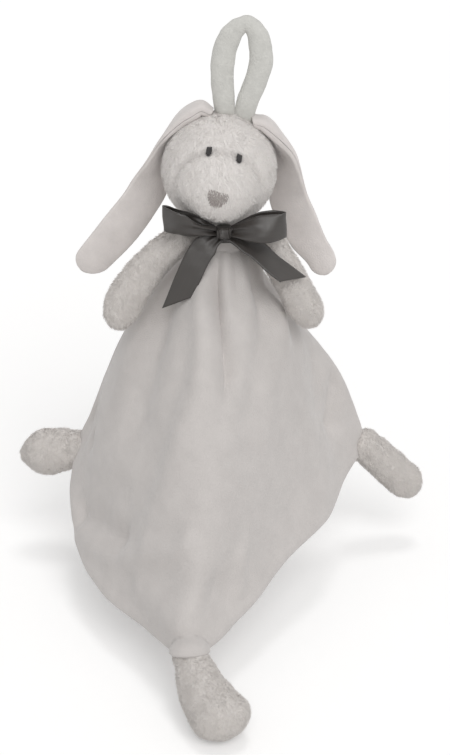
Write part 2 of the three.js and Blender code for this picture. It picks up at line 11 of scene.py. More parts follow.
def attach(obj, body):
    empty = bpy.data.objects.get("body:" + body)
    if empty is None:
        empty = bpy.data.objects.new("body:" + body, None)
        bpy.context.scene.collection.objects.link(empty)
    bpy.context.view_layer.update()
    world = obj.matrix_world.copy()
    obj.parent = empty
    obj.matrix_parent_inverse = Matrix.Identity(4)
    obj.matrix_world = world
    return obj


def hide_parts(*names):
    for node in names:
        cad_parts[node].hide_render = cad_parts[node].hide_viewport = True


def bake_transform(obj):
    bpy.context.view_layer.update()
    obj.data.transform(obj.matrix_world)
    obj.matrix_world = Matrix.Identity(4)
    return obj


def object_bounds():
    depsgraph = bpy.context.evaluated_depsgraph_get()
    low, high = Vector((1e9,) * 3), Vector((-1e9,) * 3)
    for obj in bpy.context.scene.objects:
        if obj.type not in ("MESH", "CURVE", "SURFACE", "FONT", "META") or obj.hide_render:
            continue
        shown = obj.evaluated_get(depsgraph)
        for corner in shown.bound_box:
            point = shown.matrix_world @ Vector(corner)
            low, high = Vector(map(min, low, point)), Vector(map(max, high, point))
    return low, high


bl_info = {
    "name": "Comfort blanket",
    "version": (1, 0, 0),
    "blender": (4, 5, 0),
    "location": "View3D > Sidebar > Comfort blanket",
    "description": "Plush, velour and satin pieces of a comfort blanket over its packed part",
    "category": "Add Mesh",
}

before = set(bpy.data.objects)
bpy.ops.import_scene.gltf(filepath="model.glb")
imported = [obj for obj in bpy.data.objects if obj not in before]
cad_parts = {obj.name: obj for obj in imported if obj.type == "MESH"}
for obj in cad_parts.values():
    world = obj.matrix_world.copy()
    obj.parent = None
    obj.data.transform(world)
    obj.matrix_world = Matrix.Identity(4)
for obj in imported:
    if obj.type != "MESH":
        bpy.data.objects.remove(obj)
CAD_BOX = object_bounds()

# Tables are in millimetres from the middle of the neck, X to the viewer's right, Y away, Z up
MM = 0.001
GAP = 0.3
CLOTH_CLEAR = 0.4
ARM_CLEAR = 0.7
VELOUR = 1.2
SATIN = 0.8
BLANKET_WIDE = 235
RIBBON_WIDE = 15.4
HEAD_HALF = 35

COLLAR = {"radius": 13.5, "low": -6, "high": 7.2, "wrap": 152, "share": 2 / 15}
CORE = {"radius": COLLAR["radius"] - GAP / 2 - VELOUR - CLOTH_CLEAR, "low": -13, "high": 13.5}
BAND = {"radius": COLLAR["radius"] + GAP / 2 + VELOUR + CLOTH_CLEAR, "low": 0.5, "high": 7.9}
BAND_OUTSIDE = BAND["radius"] + SATIN

HEAD = np.array([-0.103 * HEAD_HALF, 0, COLLAR["high"] + 1.0143 * HEAD_HALF])
HEAD_ROLL = 9
SKULL = HEAD_HALF * np.array([1, 0.929, 0.989])
MUZZLE = {"at": HEAD_HALF * np.array([0, -0.414, -0.07]), "size": HEAD_HALF * np.array([0.77, 0.71, 0.7]),
          "blend": 0.05 * HEAD_HALF}
# Embroidery: its outline, how deep it sits, the hollow round it and how far in the plush stays short
EYE = {"wide": 3.9, "tall": 5.1, "point": 0.5, "corner": 0, "stitches": 5,
       "sink": 0.4, "hollow": 3.6, "bare": 0.2, "thread": "eye thread", "slot": "black_thread"}
NOSE = {"wide": 10.6, "tall": 9, "point": 0, "corner": 0.19, "stitches": 12,
        "sink": 0.9, "hollow": 6.5, "bare": -0.2, "thread": "nose thread", "slot": "grey_rose_thread"}
# Piece: degrees to the right and up, its lean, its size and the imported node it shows
FACE = {"left_eye": (-20.5, 33, 12, EYE, "eye_left"), "right_eye": (17, 30, -20, EYE, "eye_right"),
        "nose_patch": (-2, -9, -8, NOSE, "nose")}
FACE_TURN = 2
# Depth of the crease over the muzzle and of the hollows round the embroidery, then the patch's height
CREASE = 2.0
HOLLOW = 0.6
PATCH_LOW, PATCH_HIGH = 0.1, 0.7
# Most that the simulation may move a cover
HEAD_PUFF, LIMB_PUFF = 1.0, 1.4
SEEDS = {"head": 11, "arm": 20, "foot": 30}

LOOP = {"tall": 52.3, "tube": (14.2, 9), "foot": HEAD + HEAD_HALF * np.array([0.257, 0.114, 1.03]), "top": 5}
LOOP_PATH = [(-0.105, 0), (-0.13, 0.3), (-0.13, 0.55), (-0.085, 0.76), (0.015, 0.93), (0.145, 1),
             (0.25, 0.9), (0.3, 0.7), (0.305, 0.54), (0.255, 0.35), (0.175, 0.15), (0.13, 0)]
LOOP_ENDS = (0.02, -0.1), (-0.03, -0.16)
LOOP_WIDE = [0.88, 0.96, 1, 1, 0.85, 0.68, 0.85, 1, 1, 0.97, 0.94, 0.9]
NECK_FROM_LOOP = -LOOP["foot"] - np.array([
    LOOP["tall"] * LOOP_PATH[LOOP["top"]][0], 0, LOOP["tall"] - LOOP["tube"][0] * LOOP_WIDE[LOOP["top"]] / 2])

HEM = BLANKET_WIDE * np.array([
    [-0.423, 0.094, -0.677], [-0.432, -0.026, -0.766], [-0.404, -0.183, -0.834], [-0.332, -0.362, -0.868],
    [-0.213, -0.519, -0.877], [-0.087, -0.681, -0.864], [0.055, -0.511, -0.843], [0.162, -0.328, -0.796],
    [0.283, -0.145, -0.77], [0.336, 0.017, -0.736], [0.402, 0.128, -0.689]])
FLARE = [56, 54, 51, 48, 46, 45, 44, 41, 35, 31.5, 31]
HANG = [18, 19, 21, 24, 27, 31, 28, 25, 21, 17, 11]
REACH = 0.36
HEM_STEPS = [0, 0.0016, 0.004, 0.0075, 0.0125, 0.02]
HEM_START = 0.03

# Folds: places across and down the cloth, height as a share of its side, width as a share
FOLDS = [
    ([(-0.12, 0.15), (-0.06, 0.21), (-0.02, 0.27), (0.03, 0.34), (0.08, 0.41)], -0.0351, 0.055),
    ([(-0.17, 0.18), (-0.08, 0.34), (-0.07, 0.46), (-0.12, 0.57), (-0.16, 0.7), (-0.2, 0.8)], 0.0284, 0.07),
    ([(-0.47, 0.32), (-0.44, 0.4), (-0.42, 0.55)], -0.0405, 0.12),
    ([(0.05, 0.1), (0.35, 0.18), (0.7, 0.3), (0.61, 0.39)], -0.0243, 0.08),
    ([(0.37, 0.26), (0.3, 0.38), (0.23, 0.5)], -0.0189, 0.09),
    ([(0.54, 0.38), (0.84, 0.52), (0.96, 0.7)], 0.0243, 0.1),
    ([(-0.74, 0.92), (-0.56, 0.83), (-0.38, 0.76)], -0.011, 0.05),
    ([(-0.66, 0.96), (-0.52, 0.9), (-0.36, 0.86)], -0.0297, 0.045),
    ([(-0.61, 0.97), (-0.49, 0.93), (-0.38, 0.91), (-0.22, 0.86), (-0.04, 0.78)], 0.02, 0.028),
    ([(-0.21, 0.92), (-0.12, 0.93), (-0.04, 0.94)], 0.0189, 0.045),
    ([(0.1, 0.9), (0.15, 0.93)], -0.0216, 0.06),
    ([(0.18, 0.86), (0.18, 0.94)], 0.0135, 0.025),
    ([(-1, 0.85), (-0.9, 0.84)], -0.0196, 0.08),
    ([(-0.84, 0.76), (-0.77, 0.79)], -0.0189, 0.05),
    ([(0.92, 0.73), (0.87, 0.77), (0.82, 0.81)], -0.0243, 0.05),
]

ARM_HIGH = 2.4
ARMS = {
    "left": {"around": -75, "ball": 10.5, "long": 72.1, "way": [-0.614, -0.207, -0.761], "bend": -4.7,
             "swell": 12.3, "swells": [0.83, 0.88, 0.98, 0.98, 0.69], "flat": 0.8},
    "right": {"around": 68, "ball": 10, "long": 63.8, "way": [0.494, -0.188, -0.85], "bend": 0,
              "swell": 10.9, "swells": [0.95, 0.99, 1, 0.97, 0.68], "flat": 0.84},
}
for limb in ARMS.values():
    around, out = math.radians(limb["around"]), BAND_OUTSIDE + limb["ball"] + ARM_CLEAR
    limb["root"] = [out * math.sin(around), -out * math.cos(around), ARM_HIGH]
FEET = {
    "left": {"root": HEM[0], "ball": 12, "long": 38.9, "way": [-0.954, 0.18, -0.239], "bend": 0,
             "swell": 15.6, "swells": [0.86, 0.97, 0.99, 0.74, 0.42], "flat": 0.9},
    "right": {"root": HEM[-1], "ball": 11.6, "long": 52.6, "way": [0.688, 0.133, -0.713], "bend": 0,
              "swell": 12.4, "swells": [0.94, 0.97, 0.98, 0.97, 0.68], "flat": 0.92},
    "front": {"root": HEM[5], "ball": 10.4, "long": 54.3, "way": [0.492, -0.773, -0.401], "bend": 5,
              "swell": 17, "swells": [0.7, 0.84, 0.96, 1, 0.7], "flat": 0.9},
}
# Outline of a limb: its root ball, then places along it, with how thick its tip is at the last two
LIMB_BALL = [(-1, 0), (-0.93, 0.37), (-0.71, 0.71), (-0.38, 0.92), (0, 1)]
LIMB_PLACES = [0.12, 0.34, 0.58, 0.8, 0.94, 0.985, 1]
LIMB_TIP = [0.32, 0]

EARS = {
    "left": {
        "path": [[-0.14, 0.114, 0.99], [-0.3, 0.143, 1.11], [-0.551, 0.171, 0.986],
                 [-0.814, 0.229, 0.683], [-0.997, 0.343, 0.223], [-1.257, 0.343, -0.494],
                 [-1.74, 0.171, -1.146], [-2.14, 0.14, -1.61], [-2.44, 0.14, -1.95]],
        "hug": 2.2,
        "across": [[0, 1, 0], [0, 1, 0], [0.1, 0.97, 0.1], [0.25, 0.93, 0.1], [0.5, 0.85, -0.05],
                   [0.74, 0.42, -0.4], [0.8, 0.2, -0.5], [0.8, 0.1, -0.52], [0.8, 0.05, -0.55]],
        "wide": 26.5, "wides": [0.5, 0.6, 0.72, 0.8, 0.9, 1, 0.97, 0.86, 0.76],
    },
    "right": {
        "path": [[0.58, 0.114, 0.84], [0.76, 0.143, 0.87], [0.96, 0.2, 0.711],
                 [1.15, 0.343, 0.231], [1.215, 0.343, -0.597], [1.351, 0.257, -0.94],
                 [1.589, 0.143, -1.409], [1.806, 0.086, -1.694], [1.92, 0.029, -1.98]],
        "hug": 3.4,
        "across": [[0, 1, 0], [0, 1, 0], [-0.15, 0.97, 0.05], [-0.5, 0.85, 0], [-0.8, 0.5, -0.25],
                   [-0.86, 0.3, -0.3], [-0.88, 0.15, -0.33], [-0.9, 0.1, -0.35], [-0.9, 0.1, -0.35]],
        "wide": 27.5, "wides": [0.5, 0.6, 0.76, 0.9, 1, 0.95, 0.8, 0.66, 0.54],
    },
}
EAR = {"rim": 0.9, "plump": 1.9, "round": 0.08, "sewn": 7, "long": 0.13}

KNOT = {"half": np.array([5.2, 6.9, 4.7]), "shift": [0, 0.6, 0.4], "deep": 0.86, "tall": 0.76, "pleat": 0.24}
KNOT["at"] = np.array([-0.5, -(BAND_OUTSIDE + GAP + KNOT["half"][1]), 10.2])
BOW = {
    "left": {"reach": [-36.3, -3.8, 10.6], "bulge": 4.4, "lean": -0.4, "fold": 2, "dip": 0.6},
    "right": {"reach": [37.1, -3.8, 6.6], "bulge": 4.6, "lean": 0.4, "fold": 1.2, "dip": 0},
}
BOW_START = [KNOT["half"][0] + GAP - 0.6, -1, 1.2]
BOW_FORWARD = 8.5
BOW_RISE = 1.5
BOW_CROWN = 1.9
BOW_RIB = 0.6
BOW_NEAR = 0.4
TAILS = {
    "left": {"path": [[-3.6, 1, -2.6], [-9.6, -2.6, -5.8], [-14.6, -3.3, -12.3], [-21.3, -5.8, -25.6],
                      [-28.2, -7.8, -42.5]], "lean": [0.82, -0.24, -0.5], "slant": -15},
    "right": {"path": [[3.4, 1, -2.6], [12, -3, -4.8], [19.2, -4.8, -8.9], [28.9, -7.6, -17],
                       [41.7, -9.2, -26.8]], "lean": [0.39, 0.84, 0.38], "slant": 12.6},
}
TAIL_NEAR = 0.58
TAIL_LONG = 0.045

# Which way the tufts of the plush lean on the whole
COMB = (0.06, -0.06, -0.36)
# Length of the cloth simulation
FRAMES = 20
# Unevenness: height, size of a lump and seed of each wave
LOOP_UNEVEN = (0.35, 7.0, 4), (0.12, 2.6, 5)
CLOTH_UNEVEN = (1.3, 30.0, 6), (0.4, 12.0, 7)
LIMB_UNEVEN = (0.9, 11.0, 0), (0.3, 4.0, 1)
PLEATS = 1.3

FLOOR_REACH = 7.0
FLOOR_TONE = (0.9, 0.895, 0.89, 1)
FLOOR_GLOW = 0.2
# Lamps: width of the light in degrees, and where it comes from
LAMPS = {"key": (14, (0.12, 0.12, 1.5)), "fill": (40, (0.3, -1.2, 1.15))}


def paint(red, green, blue):
    """A colour as it looks on screen, 0 to 255, turned to Blender's linear values."""
    return tuple(c / 12.92 if c <= 0.04045 else ((c + 0.055) / 1.055) ** 2.4
                 for c in (red / 255, green / 255, blue / 255))


def colour(name, description, *tone):
    return FloatVectorProperty(name=name, description=description, subtype="COLOR", size=3,
                               min=0, max=1, default=paint(*tone))


def length(name, description, value):
    return FloatProperty(name=name, description=description, subtype="DISTANCE", unit="LENGTH",
                         min=0, default=value)


class ComfortStage(bpy.types.PropertyGroup):
    """Camera, floor and lamps."""
    pitch: FloatProperty(name="Camera pitch", description="How far the camera looks down", subtype="ANGLE",
                         unit="ROTATION", default=math.radians(25))
    away: length("Camera distance", "Camera in front of the neck", 1.031)
    high: length("Camera height", "Camera above the neck", 0.3835)
    lens: FloatProperty(name="Lens", description="Focal length on a 36 mm frame", default=84.59, min=1)
    floor_clear: length("Floor clearance", "Floor under the lowest point", 0.002)
    key: FloatProperty(name="Key lamp", description="Strength of the overhead lamp", default=0.38)
    fill: FloatProperty(name="Fill lamp", description="Strength of the front lamp", default=1.3)
    sky: FloatProperty(name="Room light", description="Strength of the light from all round", default=0.51)


class ComfortPlush(bpy.types.PropertyGroup):
    """Sheared plush of the head, arms and feet."""
    pile: length("Pile", "Length of the plush fibres", 0.0013)
    strand: length("Strand", "Width of one tuft of fibres", 0.00036)
    per_area: FloatProperty(name="Density", description="Tufts on a square metre", default=2.3e6)
    lean: FloatProperty(name="Lean", description="How far the tufts lean over", default=0.28)
    curl: length("Curl", "Width of the locks that lean one way", 0.0045)
    voxel: length("Voxel", "Cell of the coarse copy that is simulated", 0.004)
    pressure: FloatProperty(name="Pressure", description="Push of the wadding from inside", default=4)
    pale: colour("Head plush", "Colour of the head", 236, 232, 229)
    grey: colour("Limb plush", "Colour of the arms and feet", 218, 213, 209)


class ComfortCloth(bpy.types.PropertyGroup):
    """Velour of the blanket, ears and loop."""
    thick: length("Velour", "Thickness of one layer", 0.0012)
    hem: length("Hem", "Width of the raised seam allowance", 0.0045)
    rise: length("Hem rise", "Height of the raised seam allowance", 0.00045)
    side: length("Side", "Side of the square that the blanket is cut to", 0.235)
    columns: IntProperty(name="Columns", description="Cells across the blanket", default=190)
    rows: IntProperty(name="Rows", description="Cells down the blanket", default=140)
    body: colour("Blanket", "Colour of the blanket", 202, 197, 194)
    ear: colour("Ears", "Colour of the ears", 222, 216, 213)
    loop: colour("Loop", "Colour of the hanging loop", 213, 212, 207)


class ComfortTrim(bpy.types.PropertyGroup):
    """Satin ribbon and embroidery threads."""
    ribbon: length("Ribbon", "Thickness of the satin", 0.0008)
    thread: length("Thread", "Thickness of an embroidery thread", 0.0009)
    satin: colour("Satin", "Colour of the ribbon", 56, 52, 49)
    eye: colour("Eye thread", "Colour of the eyes", 46, 43, 43)
    nose: colour("Nose thread", "Colour of the nose", 176, 168, 164)
    sewing: colour("Sewing thread", "Colour of the seams", 190, 185, 181)


# Shapes

def unit(rows):
    return rows / np.linalg.norm(rows, axis=-1, keepdims=True)


def spline(points, shares):
    """Smooth curve through rows of points, at shares from 0 to 1."""
    p = np.asarray(points, float)
    last = len(p) - 1
    q = np.vstack([2 * p[0] - p[1], p, 2 * p[-1] - p[-2]])
    place = np.clip(np.asarray(shares, float), 0, 1) * last
    index = np.minimum(place.astype(int), last - 1)
    t = (place - index)[..., None]
    a, b, c, d = q[index], q[index + 1], q[index + 2], q[index + 3]
    ka, kb, kc = [np.maximum(np.sqrt(np.linalg.norm(x, axis=-1, keepdims=True)), 1e-4)
                  for x in (b - a, c - b, d - c)]
    start = ((b - a) / ka - (c - a) / (ka + kb) + (c - b) / kb) * kb
    end = ((c - b) / kb - (d - b) / (kb + kc) + (d - c) / kc) * kb
    return b + start * t + (3 * c - 3 * b - 2 * start - end) * t ** 2 + (2 * b - 2 * c + start + end) * t ** 3


def turns(count):
    """Angles all the way round."""
    return 2 * np.pi * np.arange(count) / count


def ring(radius, angle, high):
    """Places round the upright axis, the angle counted from the front to the right."""
    return np.stack(np.broadcast_arrays(radius * np.sin(angle), -radius * np.cos(angle), high), -1)


def off(ways, amounts):
    """Steps along one way for each row, by one amount for each point."""
    return ways[:, None] * amounts[..., None]


def hump(x, middle, wide):
    return np.exp(-((x - middle) / wide) ** 2)


def table(values, shares):
    return spline(np.asarray(values, float)[:, None], shares)[..., 0]


def smooth(x, low, high):
    t = np.clip((x - low) / (high - low), 0, 1)
    return t * t * (3 - 2 * t)


def ripple(points, size, seed):
    """Smooth uneven value from -1 to 1 at each point, a lump being about size wide."""
    flat = np.asarray(points, float).reshape(-1, 3) / size + seed * 7.3
    return np.array([noise.noise(p) for p in flat.tolist()]).reshape(np.shape(points)[:-1])


def uneven(points, waves, seed=0):
    return sum(height * ripple(points, size, seed + own) for height, size, own in waves)


def grid_faces(rows, columns, closed=False, start=0):
    """Cells between rows and columns of points."""
    faces = []
    for row in range(rows - 1):
        for column in range(columns if closed else columns - 1):
            right = (column + 1) % columns
            faces.append((start + row * columns + column, start + row * columns + right,
                          start + (row + 1) * columns + right, start + (row + 1) * columns + column))
    return faces


def placed(name, data):
    piece = bpy.data.objects.new(name, data)
    bpy.context.scene.collection.objects.link(piece)
    return piece


def round_faces(rows, columns):
    """Cells of a grid that closes both ways."""
    last = (rows - 1) * columns
    return grid_faces(rows, columns, closed=True) + [
        (last + s, last + (s + 1) % columns, (s + 1) % columns, s) for s in range(columns)]


def make(name, points, faces, uv=None):
    """Closed mesh in metres at its place in the part, faces outwards, shaded smooth."""
    mesh = bpy.data.meshes.new(name)
    places = (np.asarray(points, float).reshape(-1, 3) + NECK_FROM_LOOP) * MM
    mesh.from_pydata(places.tolist(), [], faces)
    shape = bmesh.new()
    shape.from_mesh(mesh)
    if shape.calc_volume(signed=True) < 0:
        bmesh.ops.reverse_faces(shape, faces=shape.faces)
    shape.to_mesh(mesh)
    shape.free()
    if uv is not None:
        layer = mesh.uv_layers.new(name="weave")
        corners = np.zeros(len(mesh.loops), int)
        mesh.loops.foreach_get("vertex_index", corners)
        layer.data.foreach_set("uv", np.asarray(uv, np.float32).reshape(-1, 2)[corners].ravel())
    mesh.shade_smooth()
    return placed(name, mesh)


def shell(name, outer, inner, uv=None):
    """Thin closed piece between two grids of points with the same rows and columns."""
    rows, columns = outer.shape[:2]
    under = rows * columns
    faces = grid_faces(rows, columns) + [f[::-1] for f in grid_faces(rows, columns, start=under)]
    edge = [(0, c) for c in range(columns - 1)] + [(r, columns - 1) for r in range(rows - 1)]
    edge += [(rows - 1, c) for c in range(columns - 1, 0, -1)] + [(r, 0) for r in range(rows - 1, 0, -1)]
    line = [r * columns + c for r, c in edge]
    faces += [(b, a, a + under, b + under) for a, b in zip(line, line[1:] + line[:1])]
    both = None if uv is None else np.concatenate([uv.reshape(-1, 2)] * 2)
    return make(name, np.concatenate([outer.reshape(-1, 3), inner.reshape(-1, 3)]), faces, both)


def capped(name, rings, first, last, uv=None):
    """Closed piece through rings of points, with a point at each end."""
    count, sides = rings.shape[:2]
    faces = grid_faces(count, sides, closed=True)
    tip = count * sides
    faces += [(s, tip, (s + 1) % sides) for s in range(sides)]
    base = (count - 1) * sides
    faces += [(base + s, base + (s + 1) % sides, tip + 1) for s in range(sides)]
    both = None if uv is None else np.vstack([uv.reshape(-1, 2), uv[0, :1], uv[-1, :1]])
    return make(name, np.vstack([rings.reshape(-1, 3), [first], [last]]), faces, both)


def normals(grid):
    """Directions out of a grid whose columns run to the right and rows run down."""
    return unit(np.cross(np.gradient(grid, axis=1), -np.gradient(grid, axis=0)))


# Nodes

class Wires:
    """Adds nodes to one tree."""

    def __init__(self, tree):
        self.tree = tree

    def fill(self, socket, value):
        """A socket linked from another one or set to a value."""
        if isinstance(value, bpy.types.NodeSocket):
            self.tree.links.new(value, socket)
        else:
            socket.default_value = value

    def node(self, kind, inputs=(), **settings):
        node = self.tree.nodes.new(kind)
        for key, value in settings.items():
            setattr(node, key, value)
        for socket, value in dict(inputs).items():
            self.fill(node.inputs[socket], value)
        return node

    def put(self, kind, inputs=(), **settings):
        """First output of a new node."""
        return self.node(kind, inputs, **settings).outputs[0]

    def math(self, operation, *values):
        return self.put("ShaderNodeMath", dict(enumerate(values)), operation=operation)

    def plus(self, *values):
        return self.math("ADD", *values)

    def times(self, *values):
        return self.math("MULTIPLY", *values)

    def vector(self, operation, first, second):
        return self.put("ShaderNodeVectorMath", {0: first, "Scale" if operation == "SCALE" else 1: second},
                        operation=operation)

    def noise(self, place, scale, detail, **more):
        return self.put("ShaderNodeTexNoise", {"Vector": place, "Scale": scale, "Detail": detail, **more})

    def mix(self, share, low, high):
        return self.node("ShaderNodeMix", {"Factor": share, 6: low, 7: high}, data_type="RGBA").outputs[2]

    def chance(self, low, high, seed):
        """A number between two others, drawn anew for each point."""
        drawn = self.node("FunctionNodeRandomValue", {2: low, 3: high, "Seed": seed}, data_type="FLOAT")
        return drawn.outputs[1]


def group(name, kind, takes, gives):
    """An empty node group with named sockets, given as (name, type, default)."""
    tree = bpy.data.node_groups.new(name, kind)
    for label, socket, default in takes:
        item = tree.interface.new_socket(label, in_out="INPUT", socket_type="NodeSocket" + socket)
        if default is not None:
            item.default_value = default
    for label, socket in gives:
        tree.interface.new_socket(label, in_out="OUTPUT", socket_type="NodeSocket" + socket)
    return Wires(tree), tree.nodes.new("NodeGroupInput").outputs, tree.nodes.new("NodeGroupOutput").inputs


def pile_tree():
    """Tufts of fibres over a surface, leaning together in locks."""
    wires, take, give = group("Plush pile", "GeometryNodeTree", [
        ("Geometry", "Geometry", None), ("Length", "Float", 0.002), ("Width", "Float", 0.0004),
        ("Density", "Float", 1e6), ("Lean", "Float", 0.7), ("Curl", "Float", 0.004),
        ("Seed", "Int", 1), ("Material", "Material", None)], [("Geometry", "Geometry")])
    put, times, vector = wires.put, wires.times, wires.vector
    mask = put("GeometryNodeInputNamedAttribute", {"Name": "pile"}, data_type="FLOAT")
    points = wires.node("GeometryNodeDistributePointsOnFaces", {
        "Mesh": take["Geometry"], "Density": times(take["Density"], mask), "Seed": take["Seed"]}).outputs
    tall = take["Length"]
    blade = put("GeometryNodeMeshGrid", {
        "Size X": take["Width"], "Size Y": tall, "Vertices X": 2, "Vertices Y": 3})
    corner = wires.node("ShaderNodeSeparateXYZ", {0: put("GeometryNodeInputPosition")}).outputs
    rise = wires.plus(corner[1], times(tall, 0.5))
    part = wires.math("DIVIDE", rise, tall)
    slim = wires.math("SUBTRACT", 1.0, times(part, 0.6))
    bent = put("ShaderNodeCombineXYZ", {0: times(times(rise, part), 0.6), 1: times(corner[0], slim), 2: rise})
    tuft = put("GeometryNodeSetPosition", {"Geometry": blade, "Position": bent})
    spot = vector("SCALE", put("GeometryNodeInputPosition"), wires.math("DIVIDE", 1.0, take["Curl"]))
    wave = wires.node("ShaderNodeTexNoise", {"Vector": spot, "Scale": 1.0, "Detail": 1.0}).outputs["Color"]
    wave = vector("SCALE", vector("SUBTRACT", wave, (0.5, 0.5, 0.5)), times(take["Lean"], 4.0))
    wave = vector("ADD", wave, COMB)
    way = vector("ADD", points["Normal"], wave)
    turn = put("FunctionNodeAlignRotationToVector", {"Vector": way}, axis="Z")
    turn = put("FunctionNodeAlignRotationToVector", {"Rotation": turn, "Vector": wave},
               axis="X", pivot_axis="Z")
    spin = put("ShaderNodeCombineXYZ", {2: wires.chance(-0.7, 0.7, 0)})
    spin = put("FunctionNodeEulerToRotation", {0: spin})
    turn = put("FunctionNodeRotateRotation", {0: turn, 1: spin}, rotation_space="LOCAL")
    tufts = put("GeometryNodeInstanceOnPoints", {
        "Points": points["Points"], "Instance": tuft, "Rotation": turn, "Scale": wires.chance(0.6, 1.15, 3)})
    shade = {"Geometry": tufts, "Name": "shade", "Value": wires.chance(0.0, 1.0, 5)}
    tufts = put("GeometryNodeStoreNamedAttribute", shade, data_type="FLOAT", domain="INSTANCE")
    tufts = put("GeometryNodeRealizeInstances", {0: tufts})
    tufts = put("GeometryNodeSetMaterial", {"Geometry": tufts, "Material": take["Material"]})
    wires.fill(give["Geometry"], tufts)


def thread_tree():
    """Threads along the edges of a mesh of stitch lines."""
    wires, take, give = group("Thread lines", "GeometryNodeTree", [
        ("Geometry", "Geometry", None), ("Thickness", "Float", 0.0006), ("Sides", "Int", 6),
        ("Material", "Material", None)], [("Geometry", "Geometry")])
    put = wires.put
    line = put("GeometryNodeMeshToCurve", {"Mesh": take["Geometry"]})
    profile = put("GeometryNodeCurvePrimitiveCircle", {
        "Resolution": take["Sides"], "Radius": wires.times(take["Thickness"], 0.5)})
    thread = put("GeometryNodeCurveToMesh", {"Curve": line, "Profile Curve": profile, "Fill Caps": True})
    thread = put("GeometryNodeSetShadeSmooth", {0: put("GeometryNodeRealizeInstances", {0: thread})})
    thread = put("GeometryNodeSetMaterial", {"Geometry": thread, "Material": take["Material"]})
    wires.fill(give["Geometry"], thread)


def grown(name, source, tree, values):
    """Plain mesh piece from a node tree run on a source mesh."""
    holder = placed(name + "_source", source)
    nodes = holder.modifiers.new("nodes", "NODES")
    nodes.node_group = tree
    sockets = {item.name: item.identifier for item in tree.interface.items_tree if item.in_out == "INPUT"}
    for label, value in values.items():
        nodes[sockets[label]] = value
    bpy.context.view_layer.update()
    result = holder.evaluated_get(bpy.context.evaluated_depsgraph_get())
    mesh = bpy.data.meshes.new_from_object(result)
    mesh.name = name
    bpy.data.objects.remove(holder)
    return placed(name, mesh)


def mottle_group():
    """Patches where the pile is brushed another way, over a fine grain."""
    wires, take, give = group("Brushed pile", "ShaderNodeTree", [
        ("Color", "Color", None), ("Dark", "Float", 0.9), ("Patch", "Float", 0.01),
        ("Grain", "Float", 0.0006)], [("Color", "Color"), ("Height", "Float")])
    place = wires.node("ShaderNodeTexCoord").outputs["Object"]
    broad = wires.noise(place, wires.math("DIVIDE", 1.0, take["Patch"]), 3.0, Roughness=0.6)
    fine = wires.noise(place, wires.math("DIVIDE", 1.0, take["Grain"]), 2.0)
    mask = wires.put("ShaderNodeMapRange", {"Value": broad, "From Min": 0.35, "From Max": 0.68})
    both = wires.plus(wires.times(mask, 0.7), wires.times(fine, 0.3))
    low = wires.vector("SCALE", take["Color"], take["Dark"])
    wires.fill(give["Color"], wires.mix(both, low, take["Color"]))
    wires.fill(give["Height"], wires.plus(wires.times(broad, 0.4), fine))


def satin_group():
    """Satin ribbon: fine ribs across it, long streaks along it and a woven edge."""
    wires, take, give = group("Satin weave", "ShaderNodeTree", [
        ("Color", "Color", None), ("Rib", "Float", 0.00045), ("Edge", "Float", 0.0009)],
        [("Color", "Color"), ("Height", "Float"), ("Roughness", "Float")])
    plus, times = wires.plus, wires.times
    uv = wires.put("ShaderNodeUVMap", uv_map="weave")
    part = wires.node("ShaderNodeSeparateXYZ", {0: uv}).outputs
    rib = wires.math("SINE", times(wires.math("DIVIDE", part[0], take["Rib"]), 6.283))
    edge = wires.put("ShaderNodeMapRange", {
        "Value": part[1], "From Min": 0.0, "From Max": take["Edge"], "To Min": 1.0, "To Max": 0.0})
    streak = wires.noise(wires.vector("MULTIPLY", uv, (60, 2400, 1)), 1.0, 2.0)
    cloudy = wires.noise(uv, 120.0, 2.0)
    tone = plus(plus(times(streak, 0.4), times(cloudy, 0.5)), times(edge, -0.12))
    wires.fill(give["Color"], wires.vector("SCALE", take["Color"], plus(tone, 0.56)))
    wires.fill(give["Height"], plus(plus(times(rib, 0.5), times(edge, 1.5)), streak))
    wires.fill(give["Roughness"], plus(times(cloudy, 0.2), 0.22))


def surface(name, **settings):
    """A material with a Principled shader, its constant values set on the shader's own sockets."""
    material = bpy.data.materials.new(name)
    material.use_nodes = True
    material.node_tree.nodes.clear()
    wires = Wires(material.node_tree)
    shader = wires.node("ShaderNodeBsdfPrincipled", {key.replace("_", " "): v for key, v in settings.items()})
    wires.node("ShaderNodeOutputMaterial", {0: shader.outputs[0]})
    return material, wires, shader


def bump(wires, shader, height, distance):
    raised = wires.put("ShaderNodeBump", {"Height": height, "Distance": distance, "Strength": 1.0})
    wires.fill(shader.inputs["Normal"], raised)


def brushed(wires, tone, dark, patch, grain):
    return wires.node("ShaderNodeGroup", {"Color": (*tone, 1), "Dark": dark, "Patch": patch, "Grain": grain},
                      node_tree=bpy.data.node_groups["Brushed pile"]).outputs


def pile_cloth(name, tone, dark, patch, grain, rise):
    _, wires, shader = surface(name, Roughness=0.92, Sheen_Weight=0.35, Sheen_Roughness=0.5,
                               Specular_IOR_Level=0.15)
    mottle = brushed(wires, tone, dark, patch, grain)
    wires.fill(shader.inputs["Base Color"], mottle["Color"])
    bump(wires, shader, mottle["Height"], rise)


def tuft_cloth(name, tone, dark):
    """Plush fibres, each tuft a little darker or paler than the next."""
    _, wires, shader = surface(name, Roughness=0.9, Sheen_Weight=0.4, Sheen_Roughness=0.5,
                               Specular_IOR_Level=0.1)
    shade = wires.node("ShaderNodeAttribute", attribute_name="shade").outputs["Fac"]
    mottle = brushed(wires, tone, dark, 0.007, 0.002)["Color"]
    wires.fill(shader.inputs["Base Color"], wires.mix(shade, wires.vector("SCALE", mottle, dark), mottle))


